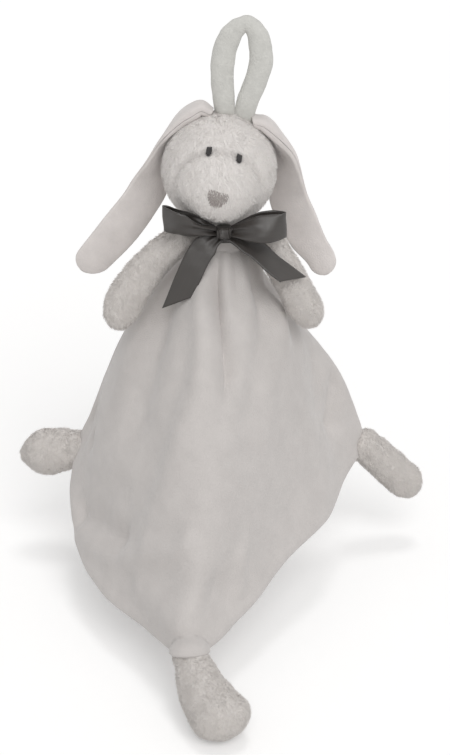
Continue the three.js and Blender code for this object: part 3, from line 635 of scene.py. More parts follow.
def satin_cloth(name, tone):
    _, wires, shader = surface(name, Specular_IOR_Level=0.6, Sheen_Weight=0.15, Sheen_Roughness=0.3,
                               Anisotropic=0.5)
    weave = wires.node("ShaderNodeGroup", {"Color": (*tone, 1)},
                       node_tree=bpy.data.node_groups["Satin weave"]).outputs
    wires.fill(shader.inputs["Base Color"], weave["Color"])
    wires.fill(shader.inputs["Roughness"], weave["Roughness"])
    bump(wires, shader, weave["Height"], 0.00004)


def thread(name, tone, dark):
    _, wires, shader = surface(name, Roughness=0.5, Specular_IOR_Level=0.4, Sheen_Weight=0.2)
    twist = wires.noise(wires.node("ShaderNodeTexCoord").outputs["Object"], 800.0, 3.0)
    low = [c * dark for c in tone]
    wires.fill(shader.inputs["Base Color"], wires.mix(twist, (*low, 1), (*tone, 1)))
    bump(wires, shader, twist, 0.0001)


def finishes():
    """All materials, made once."""
    if "head plush" in bpy.data.materials:
        return bpy.data.materials
    scene = bpy.context.scene
    plush, cloth, trim = scene.comfort_plush, scene.comfort_cloth, scene.comfort_trim
    mottle_group(), satin_group(), pile_tree(), thread_tree()
    tuft_cloth("head plush", plush.pale, 0.91)
    tuft_cloth("limb plush", plush.grey, 0.92)
    pile_cloth("head backing", plush.pale, 0.94, 0.008, 0.0009, 0.0004)
    pile_cloth("limb backing", plush.grey, 0.92, 0.008, 0.0009, 0.0004)
    pile_cloth("blanket velour", cloth.body, 0.92, 0.012, 0.0008, 0.0003)
    pile_cloth("ear velour", cloth.ear, 0.88, 0.009, 0.0008, 0.0003)
    pile_cloth("loop velour", cloth.loop, 0.87, 0.005, 0.0009, 0.0005)
    satin_cloth("ribbon satin", trim.satin)
    thread("eye thread", trim.eye, 0.5)
    thread("nose thread", trim.nose, 0.66)
    thread("sewing thread", trim.sewing, 0.8)
    return bpy.data.materials


def dress(piece, material, body, slot, *nodes, bend=None):
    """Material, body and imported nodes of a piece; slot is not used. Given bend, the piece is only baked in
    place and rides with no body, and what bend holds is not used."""
    piece.data.materials.clear()
    piece.data.materials.append(finishes()[material])
    if bend:
        start, end = ((np.array(spot) + NECK_FROM_LOOP) * MM for spot in bend[1:])
        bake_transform(piece)
    else:
        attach(piece, body)
    if nodes:
        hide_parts(*nodes)


def mark_pile(cover, marks):
    """How much plush grows at each point of a cover, 0 to 1."""
    cover.data.attributes.new("pile", "FLOAT", "POINT").data.foreach_set("value", marks)


def places(mesh):
    flat = np.empty(3 * len(mesh.vertices), np.float32)
    mesh.vertices.foreach_get("co", flat)
    return flat.reshape(-1, 3).astype(float)


def puffed(cover, held, most):
    """Carry the movement of a coarse copy in a short cloth simulation onto a stuffed cover, still where held
    is 1. It is slight: the swell of the cover is in its rings."""
    scene = bpy.context.scene
    pad = placed(cover.name + "_pad", cover.data.copy())
    remesh = pad.modifiers.new("remesh", "REMESH")
    remesh.mode, remesh.voxel_size = "VOXEL", scene.comfort_plush.voxel
    bpy.context.view_layer.update()
    pad.data = bpy.data.meshes.new_from_object(pad.evaluated_get(bpy.context.evaluated_depsgraph_get()))
    pad.modifiers.clear()
    start = places(pad.data)
    seam = pad.vertex_groups.new(name="seam")
    for index, weight in enumerate(held(start / MM - NECK_FROM_LOOP)):
        seam.add([index], float(weight), "REPLACE")
    cloth = pad.modifiers.new("cloth", "CLOTH")
    cloth.settings.vertex_group_mass = "seam"
    cloth.settings.use_pressure = True
    cloth.settings.uniform_pressure_force = scene.comfort_plush.pressure
    cloth.settings.effector_weights.gravity = 0
    for step in range(FRAMES):
        scene.frame_set(step + 1)
    blown = pad.evaluated_get(bpy.context.evaluated_depsgraph_get()).to_mesh()
    move = (places(blown) - start) / MM
    scene.frame_set(1)
    bpy.data.objects.remove(pad)
    far = np.linalg.norm(move, axis=-1, keepdims=True)
    move *= np.minimum(1, most / np.maximum(far, 1e-6))
    near = kdtree.KDTree(len(start))
    for index, point in enumerate(start):
        near.insert(point, index)
    near.balance()
    now = places(cover.data)
    for index, point in enumerate(now):
        found = near.find_n(point, 4)
        weights = np.array([1 / (distance + 1e-6) for _, _, distance in found])
        now[index] += MM * (weights @ move[[which for _, which, _ in found]]) / weights.sum()
    cover.data.vertices.foreach_set("co", now.astype(np.float32).ravel())
    cover.data.update()


def plush(name, cover, material, body, slot, seed, bend=None):
    """Fibres over a cover, thinner where its pile attribute is low."""
    sizes = bpy.context.scene.comfort_plush
    piece = grown(name, cover.data.copy(), bpy.data.node_groups["Plush pile"], {
        "Length": sizes.pile, "Width": sizes.strand, "Density": sizes.per_area, "Lean": sizes.lean,
        "Curl": sizes.curl, "Seed": seed, "Material": finishes()[material]})
    dress(piece, material, body, slot, bend=bend)


def stitches(name, lines, material, slot):
    """Threads on the head along lines of points."""
    mesh = bpy.data.meshes.new(name + "_lines")
    points, edges = [], []
    for line in lines:
        edges += [(len(points) + i, len(points) + i + 1) for i in range(len(line) - 1)]
        points += ((np.asarray(line) + NECK_FROM_LOOP) * MM).tolist()
    mesh.from_pydata(points, edges, [])
    piece = grown(name, mesh, bpy.data.node_groups["Thread lines"], {
        "Thickness": bpy.context.scene.comfort_trim.thread, "Sides": 6, "Material": finishes()[material]})
    dress(piece, material, "head", slot)


# Head

def ray_through(way, at, size):
    d, c = way / size, at / size
    a, b = (d * d).sum(-1), (d * c).sum(-1)
    under = b * b - a * ((c * c).sum() - 1)
    return np.where(under < 0, 0, np.maximum(0, (b + np.sqrt(np.maximum(under, 0))) / a))


def head_points(way, lift):
    """Places on the head in the given directions, lifted off its surface."""
    skull = ray_through(way, np.zeros(3), SKULL)
    muzzle = ray_through(way, MUZZLE["at"], MUZZLE["size"])
    share = np.clip((muzzle - skull) / MUZZLE["blend"] / 2 + 0.5, 0, 1)
    radius = skull + (muzzle - skull) * share + MUZZLE["blend"] * share * (1 - share) / 2
    out = way * (radius + lift)[..., None]
    roll = math.radians(HEAD_ROLL)
    turn = np.array([[math.cos(roll), 0, math.sin(roll)], [0, 1, 0], [-math.sin(roll), 0, math.cos(roll)]])
    return out @ turn.T + HEAD


def face_way(right, up, across, high):
    """Direction to a place on the face, from angles and millimetres to the right and up."""
    tilt = np.radians(up) + high / SKULL[1]
    turn = np.radians(right + FACE_TURN) + across / SKULL[1]
    return ring(np.cos(tilt), turn, np.sin(tilt))


def outline(size, angle):
    """Edge of an embroidered patch at each angle, to the right and up from its middle."""
    pull = 1 + size["point"] * np.sin(angle) * np.abs(np.cos(angle)) + size["corner"] * np.sin(3 * angle)
    return size["wide"] * pull / 2 * np.cos(angle), size["tall"] * pull / 2 * np.sin(angle)


def embroidered(name, right, up, lean, size, node):
    """Upright satin stitches side by side over a raised patch."""
    sides, rings = 36, 8
    turn = math.radians(lean)

    def place(x, y, lift):
        x, y = x * math.cos(turn) - y * math.sin(turn), x * math.sin(turn) + y * math.cos(turn)
        return head_points(face_way(right, up, x, y), lift - size["sink"])
    x, y = outline(size, np.linspace(0, 2 * np.pi, sides, endpoint=False))
    shares = np.arange(1, rings + 1) / rings
    rows = [place(x * k, y * k, np.full(sides, PATCH_LOW)) for k in shares]
    rows += [place(x * k, y * k, np.full(sides, 0.2 + 0.5 * (1 - k * k))) for k in shares[::-1]]
    low, high = (place(0.0, 0.0, np.array(lift)) for lift in (PATCH_LOW, PATCH_HIGH))
    dress(capped(name, np.array(rows), low, high), size["thread"], "head", size["slot"], node)
    edge_x, edge_y = outline(size, np.linspace(0, 2 * np.pi, 361))
    lines, share = [], np.linspace(-1, 1, 9)
    for column in np.linspace(edge_x.min(), edge_x.max(), size["stitches"] + 2)[1:-1]:
        near = np.abs(edge_x - column) < (edge_x.max() - edge_x.min()) / size["stitches"] / 1.5
        along = np.linspace(edge_y[near].min(), edge_y[near].max(), 9)
        wobble = 0.16 * ripple(np.stack([along, 0 * along + column, 0 * along + up], -1), 1.7, 2)
        plump = max(1 - (column / edge_x.max()) ** 2, 0)
        lines.append(place(0 * along + column + wobble, along,
                           PATCH_LOW + (0.25 + 0.45 * plump) * np.sqrt(np.maximum(1 - share ** 2, 0))))
    stitches(name + "_stitches", lines, size["thread"], size["slot"])


def seen_directly(wires):
    """1 for rays that show the background itself, 0 for those that light the piece."""
    path = wires.node("ShaderNodeLightPath").outputs
    return wires.math("MAXIMUM", path["Is Camera Ray"], wires.math(
        "MAXIMUM", path["Is Glossy Ray"], path["Is Transmission Ray"]))


class COMFORT_OT_stage(bpy.types.Operator):
    """Camera, floor, lamps and room light"""
    bl_idname = "comfort.stage"
    bl_label = "Stage"

    def execute(self, context):
        sizes = context.scene.comfort_stage
        scene = context.scene
        scene.view_settings.view_transform = "Standard"
        camera = placed("camera", bpy.data.cameras.new("camera"))
        neck = Vector(NECK_FROM_LOOP * MM)
        camera.location = neck + Vector((0, -sizes.away, sizes.high))
        camera.rotation_euler = (math.radians(90) - sizes.pitch, 0, 0)
        camera.data.lens = sizes.lens
        camera.data.clip_start = 0.02
        scene.camera = camera

        low = CAD_BOX[0].z - sizes.floor_clear
        mesh = bpy.data.meshes.new("floor")
        corners = (-1, -1), (1, -1), (1, 1), (-1, 1)
        mesh.from_pydata([(x * FLOOR_REACH, y * FLOOR_REACH, low) for x, y in corners], [], [(0, 1, 2, 3)])
        placed("floor", mesh)
        material, wires, shader = surface("pale floor", Roughness=0.95, Specular_IOR_Level=0.0)
        shader.inputs["Base Color"].default_value = FLOOR_TONE
        glow = wires.put("ShaderNodeEmission", {"Strength": wires.times(seen_directly(wires), FLOOR_GLOW)})
        both = wires.put("ShaderNodeAddShader", {0: shader.outputs[0], 1: glow})
        out = next(node for node in material.node_tree.nodes if node.type == "OUTPUT_MATERIAL")
        wires.fill(out.inputs[0], both)
        mesh.materials.append(material)

        scene.world = bpy.data.worlds.new("room")
        scene.world.use_nodes = True
        scene.world.node_tree.nodes.clear()
        wires = Wires(scene.world.node_tree)
        dim, white = (wires.put("ShaderNodeBackground", {"Color": (1, 1, 1, 1), "Strength": power})
                      for power in (sizes.sky, 1.0))
        mixed = wires.put("ShaderNodeMixShader", {0: seen_directly(wires), 1: dim, 2: white})
        wires.node("ShaderNodeOutputWorld", {0: mixed})

        for name, (spread, place) in LAMPS.items():
            lamp = bpy.data.lights.new(name, "SUN")
            lamp.energy = getattr(sizes, name)
            lamp.angle = math.radians(spread)
            holder = placed(name, lamp)
            holder.location = neck + Vector(place)
            holder.rotation_euler = Vector(place).to_track_quat("Z", "Y").to_euler()
        return {"FINISHED"}


class COMFORT_OT_head(bpy.types.Operator):
    """Stuffed plush head"""
    bl_idname = "comfort.head"
    bl_label = "Head"

    def execute(self, context):
        around, down = 120, 84
        tilt = (np.pi * np.arange(1, down) / down)[:, None]
        way = ring(np.sin(tilt), -turns(around), np.cos(tilt))
        apart = ray_through(way, MUZZLE["at"], MUZZLE["size"]) - ray_through(way, np.zeros(3), SKULL)
        crease = CREASE * hump(apart, -0.5, 1.2) * smooth(-way[..., 1], 0.2, 0.7)
        lumps = 0.35 * ripple(way, 0.5, 1) - crease * smooth(way[..., 2], -0.3, 0.2)
        marks = np.ones(way[..., 0].size + 2, np.float32)
        spots = [HEAD - [0, 0, SKULL[2]], LOOP["foot"]]
        flat = way.reshape(-1, 3)
        for right, up, _, size, _ in FACE.values():
            spot = face_way(right, up, 0.0, 0.0)
            spots.append(head_points(spot, np.array(0.0)))
            far = SKULL[1] * np.arccos(np.clip(way @ spot, -1, 1))
            lumps -= HOLLOW * hump(far, 0, size["hollow"])
            side = unit(np.cross([0, 0, 1.0], -spot))
            above = np.cross(spot, side)
            x, y = flat @ side * SKULL[1], flat @ above * SKULL[1]
            inside = np.hypot(x / (size["wide"] / 2 + 0.5), y / (size["tall"] / 2 + 0.5))
            inside += np.where(flat @ spot < 0, 9, 0)
            marks[:-2] *= smooth(inside, size["bare"], 0.75)
        top, foot = (head_points(np.array([0, 0, z]), np.array(-0.3)) for z in (1.0, -1.0))
        cover = capped("head", head_points(way, lumps - 0.3), top, foot)
        mark_pile(cover, marks)

        def held(points):
            far = np.min([np.linalg.norm(points - spot, axis=-1) for spot in spots], 0)
            return 1 - smooth(far, 8, 14)
        puffed(cover, held, HEAD_PUFF)
        plush("head_plush", cover, "head plush", "head", "pale_plush", SEEDS["head"])
        dress(cover, "head backing", "head", "pale_plush", "head_cover", "head_filling")
        return {"FINISHED"}


class COMFORT_OT_face(bpy.types.Operator):
    """Embroidered eyes and nose"""
    bl_idname = "comfort.face"
    bl_label = "Face"

    def execute(self, context):
        for name, look in FACE.items():
            embroidered(name, *look)
        return {"FINISHED"}


class COMFORT_OT_loop(bpy.types.Operator):
    """Velour hanging loop sewn into the top of the head"""
    bl_idname = "comfort.loop"
    bl_label = "Hanging loop"

    def execute(self, context):
        steps, sides = 170, 32
        share = np.linspace(0, 1, steps)
        first, last = ((LOOP_PATH[end][0] + LOOP_ENDS[end][0], LOOP_ENDS[end][1]) for end in (0, -1))
        path = np.array([first, *LOOP_PATH, last]) * LOOP["tall"]
        middle = spline(np.stack([path[:, 0], 0 * path[:, 0], path[:, 1]], -1), share) + LOOP["foot"]
        along = unit(np.gradient(middle, axis=0))
        out = np.stack([along[:, 2], 0 * share, -along[:, 0]], -1)
        wide = LOOP["tube"][0] / 2 * table([LOOP_WIDE[0] - 0.05, *LOOP_WIDE, LOOP_WIDE[-1] - 0.05], share)
        deep = LOOP["tube"][1] / 2 * (0.86 + 0.14 * smooth(np.minimum(share, 1 - share), 0, 0.2))
        side = turns(sides)
        inner = np.cos(side) * 0.5 + 0.5
        bends = hump(share, 0.44, 0.16)[:, None]
        crease = 1 - 0.035 * bends * (1 - inner) * np.sin(share * 62)[:, None] ** 2
        rings = (middle[:, None] + off(out, wide[:, None] * np.cos(side) * crease)
                 + np.array([0, 1.0, 0]) * (deep[:, None] * np.sin(side) * crease)[..., None])
        rings += unit(rings - middle[:, None]) * uneven(rings, LOOP_UNEVEN)[..., None]
        loop = capped("loop", rings, middle[0], middle[-1])
        dress(loop, "loop velour", "loop", "white_velour", "hanging_loop")
        return {"FINISHED"}


class COMFORT_OT_ears(bpy.types.Operator):
    """Lop ears of two velour panels each"""
    bl_idname = "comfort.ears"
    bl_label = "Ears"

    def execute(self, context):
        rows, columns = 96, 30
        share = np.linspace(0, 1, rows + 1)
        spread = np.sin(np.linspace(-1, 1, columns + 1) * np.pi / 2)
        for side, ear in EARS.items():
            line = spline(HEAD + HEAD_HALF * np.array(ear["path"]), share)
            along = unit(np.gradient(line, axis=0))
            axis = unit(spline(ear["across"], share))
            normal = unit(np.cross(axis, along))
            tip = np.clip((share - 1 + EAR["round"]) / EAR["round"], 0, 1)
            wide = ear["wide"] * table(ear["wides"], share) * np.sqrt(1 - (tip * 0.985) ** 2)
            middle = line[:, None] + off(axis, spread * wide[:, None] / 2)
            wave = 0.9 * ripple(middle, 17.0, 5)
            plump = np.maximum(0, 1 - np.abs(spread) ** 3) * (0.35 + 0.65 * (1 - tip ** 3))[:, None]
            hug = ear["hug"] * (smooth(share, -0.04, 0.1) * (1 - smooth(share, 0.2, 0.5)))[:, None]
            inward = -np.sign((line[rows // 4] - HEAD) @ normal[rows // 4]) * hug
            fuller = np.minimum(hug, 2.2)
            rim = 0.35 + (EAR["rim"] + 0.7 * fuller) * np.clip((1 - np.abs(spread)) / 0.06, 0, 1) ** 0.5
            lift = rim + (EAR["plump"] + 0.3 * fuller - EAR["rim"]) * plump
            centre = middle + off(normal, wave + inward)
            uv = np.stack([np.broadcast_to(share[:, None] * EAR["long"], wave.shape),
                           spread * wide[:, None] / 2 * MM], -1)
            bend = "head", line[0], line[0] + [EAR["sewn"] * np.sign(line[-1, 0] - line[0, 0]), 0, 0]
            full, thin = off(normal, lift), normal[:, None] * 0.1
            for face, outer, inner in (("outer", centre + full, centre + thin),
                                       ("lining", centre - thin, centre - full)):
                panel = shell(f"{side}_ear_{face}", outer, inner, uv)
                dress(panel, "ear velour", f"ear_{side}", "ear_velour", f"ear_{side}_{face}", bend=bend)
        return {"FINISHED"}


# Blanket

def drape(across, down):
    """Cloth without folds: across from -1 at the left edge to 1 at the right, down from 0 at the top to 1."""
    share = (across + 1) / 2
    turn = np.radians(COLLAR["wrap"]) * across
    hem = spline(HEM, share)
    high = COLLAR["high"] + (COLLAR["low"] - COLLAR["high"]) * np.minimum(1, down / COLLAR["share"])
    collar = ring(COLLAR["radius"], turn, high)
    far = unit(hem[..., :2])
    out = unit(np.stack([np.sin(turn), -np.cos(turn)], -1) / 2 + far / 2)
    reach = np.linalg.norm(hem - collar, axis=-1, keepdims=True) * REACH
    flare = np.radians(table(FLARE, share))[..., None]
    hang = np.radians(table(HANG, share))[..., None]
    near = collar + np.concatenate([out * np.sin(flare), -np.cos(flare)], -1) * reach
    before = hem - np.concatenate([far * np.sin(hang), -np.cos(hang)], -1) * reach
    t = np.clip((down - COLLAR["share"]) / (1 - COLLAR["share"]), 0, 1)[..., None]
    return collar * (1 - t) ** 3 + 3 * near * t * (1 - t) ** 2 + 3 * before * t ** 2 * (1 - t) + hem * t ** 3


def fold_height(across, down):
    total = np.zeros_like(across)
    spot = np.stack([across, down], -1)
    for path, rise, wide in FOLDS:
        nearest = np.full(across.shape, np.inf)
        for a, b in zip(np.array(path), np.array(path)[1:]):
            t = np.clip(((spot - a) @ (b - a)) / ((b - a) @ (b - a)), 0, 1)
            nearest = np.minimum(nearest, np.linalg.norm(spot - a - t[..., None] * (b - a), axis=-1))
        total += BLANKET_WIDE * rise * hump(nearest, 0, wide)
    return total * smooth(down, COLLAR["share"], 2 * COLLAR["share"])


def blanket_grid(columns, rows):
    """Middle of the cloth, its outward directions, and the distance to the nearest hem in millimetres."""
    fine = np.array(HEM_STEPS)
    across = np.linspace(-1 + HEM_START, 1 - HEM_START, columns)
    across = np.concatenate([-1 + fine, across, 1 - fine[::-1]])
    down = np.concatenate([np.linspace(0, 0.972, rows), 1 - fine[::-1]])
    u, v = np.meshgrid(across, down)
    place = drape(u, v)
    out = normals(place)
    inside = smooth(1 - v, -0.03, 0.05) * smooth(1 - np.abs(u), -0.05, 0.06)
    place = place + out * (fold_height(u, v) * inside)[..., None]
    free = smooth(v, COLLAR["share"], 3 * COLLAR["share"])
    pleats = np.sin(u * 21 + 1.7 * np.sin(u * 5) + 0.8) * (1 - smooth(v, 0.14, 0.44)) * smooth(v, 0.1, 0.2)
    place = place + out * (PLEATS * pleats + uneven(place, CLOTH_UNEVEN) * free)[..., None]
    foot = FEET["front"]
    way = place - foot["root"]
    ahead = (way * out).sum(-1)
    short = np.maximum((foot["ball"] + 1) ** 2 - (way ** 2).sum(-1) + ahead ** 2, 0)
    close = smooth(foot["ball"] * 1.9 - np.linalg.norm(way, axis=-1), 0, foot["ball"])
    place = place + out * (np.maximum(np.sqrt(short) - ahead, 0) * (short > 0) * close)[..., None]
    out = normals(place)
    step_u = np.linalg.norm(np.diff(place, axis=1), axis=-1)
    step_v = np.linalg.norm(np.diff(place, axis=0), axis=-1)
    from_left = np.concatenate([0 * u[:, :1], np.cumsum(step_u, 1)], 1)
    from_right = from_left[:, -1:] - from_left
    to_hem = np.concatenate([np.cumsum(step_v[::-1], 0)[::-1], 0 * u[:1]], 0)
    edge = np.minimum(np.minimum(from_left, from_right), to_hem)
    uv = np.stack([from_left, to_hem], -1) * MM
    return place, out, edge, uv


class COMFORT_OT_blanket(bpy.types.Operator):
    """Two velour layers hung by one corner, sewn round the hem"""
    bl_idname = "comfort.blanket"
    bl_label = "Blanket"

    def execute(self, context):
        sizes = context.scene.comfort_cloth
        place, out, edge, uv = blanket_grid(sizes.columns, sizes.rows)
        thick, hem = sizes.thick / MM, sizes.hem / MM
        near = np.clip(edge / (1.4 * thick), 0, 1)
        lift = GAP / 2 + thick * np.sqrt(np.clip(2 * near - near ** 2, 0, 1))
        lift = lift + sizes.rise / MM * hump(edge, hem, hem / 2)
        full, thin = out * lift[..., None], out * (GAP / 2)
        for face, outer, inner in (("front", place + full, place + thin),
                                   ("back", place - thin, place - full)):
            layer = shell(f"cloth_{face}", outer, inner, uv)
            dress(layer, "blanket velour", "blanket", "grey_velour", f"blanket_{face}")
        return {"FINISHED"}


class COMFORT_OT_neck(bpy.types.Operator):
    """Stuffed neck under the head, in gathered velour"""
    bl_idname = "comfort.neck"
    bl_label = "Neck"

    def execute(self, context):
        sides, rows = 96, 24
        angle = turns(sides)
        high = np.linspace(CORE["low"], CORE["high"], rows)[:, None]
        swell = CORE["radius"] - 0.35 + 0.3 * np.cos(angle * 14 + 2 * np.sin(angle * 3))
        rings = ring(swell, angle, high)
        neck = capped("neck", rings, [0, 0, CORE["low"]], [0, 0, CORE["high"]])
        dress(neck, "blanket velour", "blanket", "grey_velour", "neck_core")
        return {"FINISHED"}


# Limbs

def limb_rings(limb, sides, rows, seed):
    """Rings of a stuffed limb from its root ball to its tip, and how far along it each ring is."""
    root, long, ball, swell = np.array(limb["root"], float), limb["long"], limb["ball"], limb["swell"]
    ahead = unit(np.array(limb["way"], float))
    across = unit(np.array([ahead[2], 0, -ahead[0]]))
    if ahead[0] < 0:
        across = -across
    depth = unit(np.cross(across, ahead))
    profile = [(ball * x, ball * y) for x, y in LIMB_BALL]
    profile += [(long * place, swell * share) for place, share in zip(LIMB_PLACES, limb["swells"] + LIMB_TIP)]
    line = spline(profile, np.linspace(0.004, 0.996, rows))
    share = line[:, 0] / long
    bend = limb["bend"] * np.sin(np.pi * np.maximum(0, share))
    middle = root + ahead * line[:, :1] + across * bend[:, None]
    angle = turns(sides)
    wide = line[:, 1]
    deep = wide * (1 + (limb["flat"] - 1) * np.clip(2 * share, 0, 1))
    rings = middle[:, None] + across * (wide[:, None] * np.cos(angle))[..., None] \
        - depth * (deep[:, None] * np.sin(angle))[..., None]
    seam = hump(share, 0.05, 0.05)[:, None]
    gathers = np.sin(angle * 11 + seed + 2 * np.sin(angle * 2)) * hump(share, 0.08, 0.16)[:, None]
    lumps = uneven(rings, LIMB_UNEVEN, seed)
    rings = rings + unit(rings - middle[:, None]) * (lumps + 0.4 * gathers - 0.8 * seam - 0.4)[..., None]
    return rings, root - ahead * (ball - 0.2), middle[-1] + ahead * 0.2, share


def stuffed(kind, side, limb, seed):
    """A cover with its plush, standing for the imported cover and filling."""
    sides, rows = 72, 84
    rings, first, last, share = limb_rings(limb, sides, rows, seed)
    cover = capped(f"{side}_{kind}", rings, first, last)
    marks = np.repeat(smooth(share, -0.22, -0.12) if side == "front" else 0 * share + 1, sides)
    marks = np.concatenate([marks, [marks[0], marks[-1]]]).astype(np.float32)
    mark_pile(cover, marks)
    root, ahead = np.array(limb["root"]), unit(np.array(limb["way"], float))
    puffed(cover, lambda points: 1 - smooth((points - root) @ ahead, 0, 9), LIMB_PUFF)
    bend = ("blanket", root, root + ahead * limb["ball"]) if side == "front" else None
    body = f"{kind}_{side}"
    plush(f"{side}_{kind}_plush", cover, "limb plush", body, "grey_plush", seed + 40, bend)
    dress(cover, "limb backing", body, "grey_plush", body + "_cover", body + "_filling", bend=bend)


class COMFORT_OT_arms(bpy.types.Operator):
    """Stuffed plush arms sewn to the neck"""
    bl_idname = "comfort.arms"
    bl_label = "Arms"

    def execute(self, context):
        for index, (side, limb) in enumerate(ARMS.items()):
            stuffed("arm", side, limb, SEEDS["arm"] + 3 * index)
        return {"FINISHED"}


class COMFORT_OT_feet(bpy.types.Operator):
    """Stuffed plush feet at three corners of the blanket"""
    bl_idname = "comfort.feet"
    bl_label = "Feet"

    def execute(self, context):
        for index, (side, limb) in enumerate(FEET.items()):
            stuffed("foot", side, limb, SEEDS["foot"] + 3 * index)
        return {"FINISHED"}


# Bow

def squarish(wave):
    """The wave with its rounds pulled out towards a square."""
    return np.sign(wave) * np.abs(wave) ** 0.5


def satin(piece, body, node):
    dress(piece, "ribbon satin", body, "taupe_satin", node)


def ribbon_loop(side, bow):
    """One loop of the bow, pinched at the knot and round at its end."""
    steps, columns = 72, 14
    way = math.copysign(1, bow["reach"][0])
    start = KNOT["at"] + [way * BOW_START[0], *BOW_START[1:]]
    end = KNOT["at"] + bow["reach"]
    angle = turns(steps)
    share = (1 - np.cos(angle)) / 2
    middle = start + (end - start) * share[:, None]
    apart = bow["bulge"] * 1.15 * np.sin(angle) * (0.12 + 0.88 * share ** 0.8)
    middle[:, 1] -= BOW_FORWARD * np.sin(np.pi * share) / 2 + apart
    middle[:, 2] += BOW_RISE * np.sin(np.pi * share)
    flat = np.roll(middle, -1, 0) - np.roll(middle, 1, 0)
    normal = unit(np.stack([flat[:, 1], -flat[:, 0], 0 * share], -1)) * way
    half = RIBBON_WIDE / 2 * (BOW_NEAR + (1 - BOW_NEAR) * smooth(share, -0.1, 0.55))
    high = np.linspace(-1, 1, columns)
    rib = np.cos(high * 9 + np.sin(angle)[:, None] * 2) * (1 - smooth(share, 0, 0.5))[:, None]
    front = np.maximum(np.sin(angle), 0)[:, None] ** 0.3
    dip = bow["dip"] * front * hump(share, 0.32, 0.17)[:, None] * np.maximum(high, 0)
    lean = bow["lean"] * (1 - smooth(share, 0.7, 1))[:, None]
    tall = half[:, None] * high * (1 - dip)
    curve = middle[:, None] + np.stack([0 * tall, lean * tall, tall], -1)
    crown = BOW_CROWN * (1 - high ** 2) * (smooth(share, 0.05, 0.5) * (1 - smooth(share, 0.7, 1)))[:, None]
    curve = curve + off(normal, BOW_RIB * rib + crown + 0.8 * ripple(curve, 9.0, 8))
    curve[..., 1] += bow["fold"] * np.cos(high * 6.5 + 1) * (1 - smooth(share, 0.1, 0.8))[:, None] ** 1.5
    thick = bpy.context.scene.comfort_trim.ribbon / MM / 2
    both = np.concatenate([curve + normal[:, None] * thick, curve[:, ::-1] - normal[:, None] * thick], 1)
    run = np.cumsum(np.linalg.norm(flat, axis=-1)) / 2 * MM
    edge = np.concatenate([1 - np.abs(high), 1 - np.abs(high[::-1])]) * half[:, None] * MM
    uv = np.stack([run[:, None] + 0 * edge, edge], -1)
    return make(f"bow_{side}", both, round_faces(steps, 2 * columns), uv)


def ribbon_tail(side, tail):
    """One free end of the ribbon, cut off at a slant."""
    steps, columns = 60, 12
    share = np.linspace(0, 1, steps + 1)
    line = KNOT["at"] + spline(tail["path"], share)
    along = unit(np.gradient(line, axis=0))
    lean = np.array(tail["lean"], float)
    axis = unit(lean - along * (along @ lean)[:, None])
    normal = unit(np.cross(along, axis))
    wide = RIBBON_WIDE * (TAIL_NEAR + (1 - TAIL_NEAR) * smooth(share, 0, 0.4))
    spread = np.linspace(-1, 1, columns + 1)
    cut = tail["slant"] / 2 * spread * share[:, None] ** 2
    curve = line[:, None] + off(axis, spread * wide[:, None] / 2) + off(along, cut)
    rib = np.cos(spread * 8) * (1 - smooth(share, 0, 0.45))[:, None]
    curve = curve + off(normal, 0.7 * rib + 0.6 * ripple(curve, 12.0, 9))
    thick = bpy.context.scene.comfort_trim.ribbon / MM / 2
    edge = (1 - np.abs(spread)) * wide[:, None] / 2 * MM
    uv = np.stack([share[:, None] * TAIL_LONG + 0 * edge, edge], -1)
    return shell(f"bow_tail_{side}", curve - normal[:, None] * thick, curve + normal[:, None] * thick, uv)


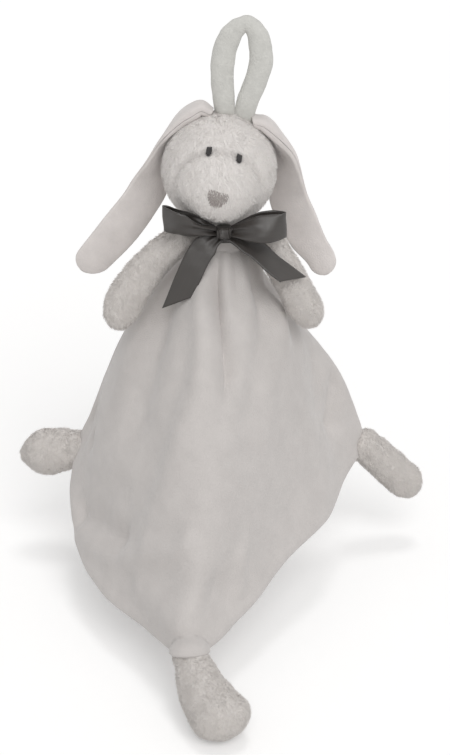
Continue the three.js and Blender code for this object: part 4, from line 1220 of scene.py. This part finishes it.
class COMFORT_OT_bow(bpy.types.Operator):
    """Satin ribbon round the neck, tied in a bow"""
    bl_idname = "comfort.bow"
    bl_label = "Bow"

    def execute(self, context):
        for side, bow in BOW.items():
            satin(ribbon_loop(side, bow), "blanket", f"ribbon_loop_{side}")
        for side, tail in TAILS.items():
            satin(ribbon_tail(side, tail), f"tail_{side}", f"ribbon_tail_{side}")
        thick = context.scene.comfort_trim.ribbon / MM
        sides, rows = 120, 14
        angle = turns(sides)
        high = np.linspace(BAND["low"], BAND["high"], rows)[:, None]
        share = np.linspace(-1, 1, rows)[:, None]
        fold = 0.25 * np.cos(share * 7 + np.sin(angle * 3)) + 0.15 * np.cos(angle * 17)
        outer = ring(BAND["radius"] + thick + fold * (1 - share ** 4) * 0.8 - 0.2, angle, high)
        inner = outer - ring(thick, angle, 0)
        edge = np.concatenate([1 - np.abs(share), 1 - np.abs(share[::-1])]) * 0.005
        uv = np.stack(np.broadcast_arrays(angle * 0.016, edge), -1)
        faces = round_faces(2 * rows, sides)
        satin(make("bow_band", np.concatenate([outer, inner[::-1]]), faces, uv), "blanket", "ribbon_band")

        tilt, angle = (np.pi * np.arange(1, 40) / 40)[:, None], -turns(72)
        x = squarish(np.sin(tilt)) * squarish(np.sin(angle))
        y = -squarish(np.sin(tilt)) * squarish(np.cos(angle))
        z = squarish(np.cos(tilt)) + 0 * x
        pleat = 1 - KNOT["pleat"] * np.abs(np.sin(x * 6.5 + 0.5 * np.sin(z * 2))) ** 3 * (y < 0)
        centre, (wide, deep, tall) = KNOT["at"] + KNOT["shift"], KNOT["half"]
        tall = tall * KNOT["tall"]
        rings = np.stack([x * wide * (1 - 0.12 * (1 - z * z)), y * deep * pleat * KNOT["deep"], z * tall], -1)
        uv = np.stack([z * 0.006, (1.5 - np.abs(x)) * 0.004], -1)
        knot = capped("bow_knot", centre + rings, centre + [0, 0, tall], centre - [0, 0, tall], uv)
        satin(knot, "blanket", "ribbon_knot")
        return {"FINISHED"}


STEPS = ("stage", "head", "face", "loop", "ears", "neck", "blanket", "arms", "feet", "bow")


class COMFORT_PT_panel(bpy.types.Panel):
    """Buttons for the pieces, and their sizes"""
    bl_idname = "COMFORT_PT_panel"
    bl_label = "Comfort blanket"
    bl_space_type = "VIEW_3D"
    bl_region_type = "UI"
    bl_category = "Comfort blanket"

    def draw(self, context):
        for step in STEPS:
            self.layout.operator("comfort." + step)
        for name in GROUPS:
            box, sizes = self.layout.box(), getattr(context.scene, name)
            for key in sizes.__annotations__:
                box.prop(sizes, key)


GROUPS = {"comfort_stage": ComfortStage, "comfort_plush": ComfortPlush, "comfort_cloth": ComfortCloth,
          "comfort_trim": ComfortTrim}
CLASSES = (*GROUPS.values(), COMFORT_OT_stage, COMFORT_OT_head, COMFORT_OT_face, COMFORT_OT_loop,
           COMFORT_OT_ears, COMFORT_OT_neck, COMFORT_OT_blanket, COMFORT_OT_arms, COMFORT_OT_feet,
           COMFORT_OT_bow, COMFORT_PT_panel)


def register():
    for cls in CLASSES:
        bpy.utils.register_class(cls)
    for name, cls in GROUPS.items():
        setattr(bpy.types.Scene, name, PointerProperty(type=cls))


def unregister():
    for name in GROUPS:
        delattr(bpy.types.Scene, name)
    for cls in reversed(CLASSES):
        bpy.utils.unregister_class(cls)


def main():
    register()
    finishes()
    for step in STEPS:
        getattr(bpy.ops.comfort, step)()


if __name__ == "__main__":
    main()
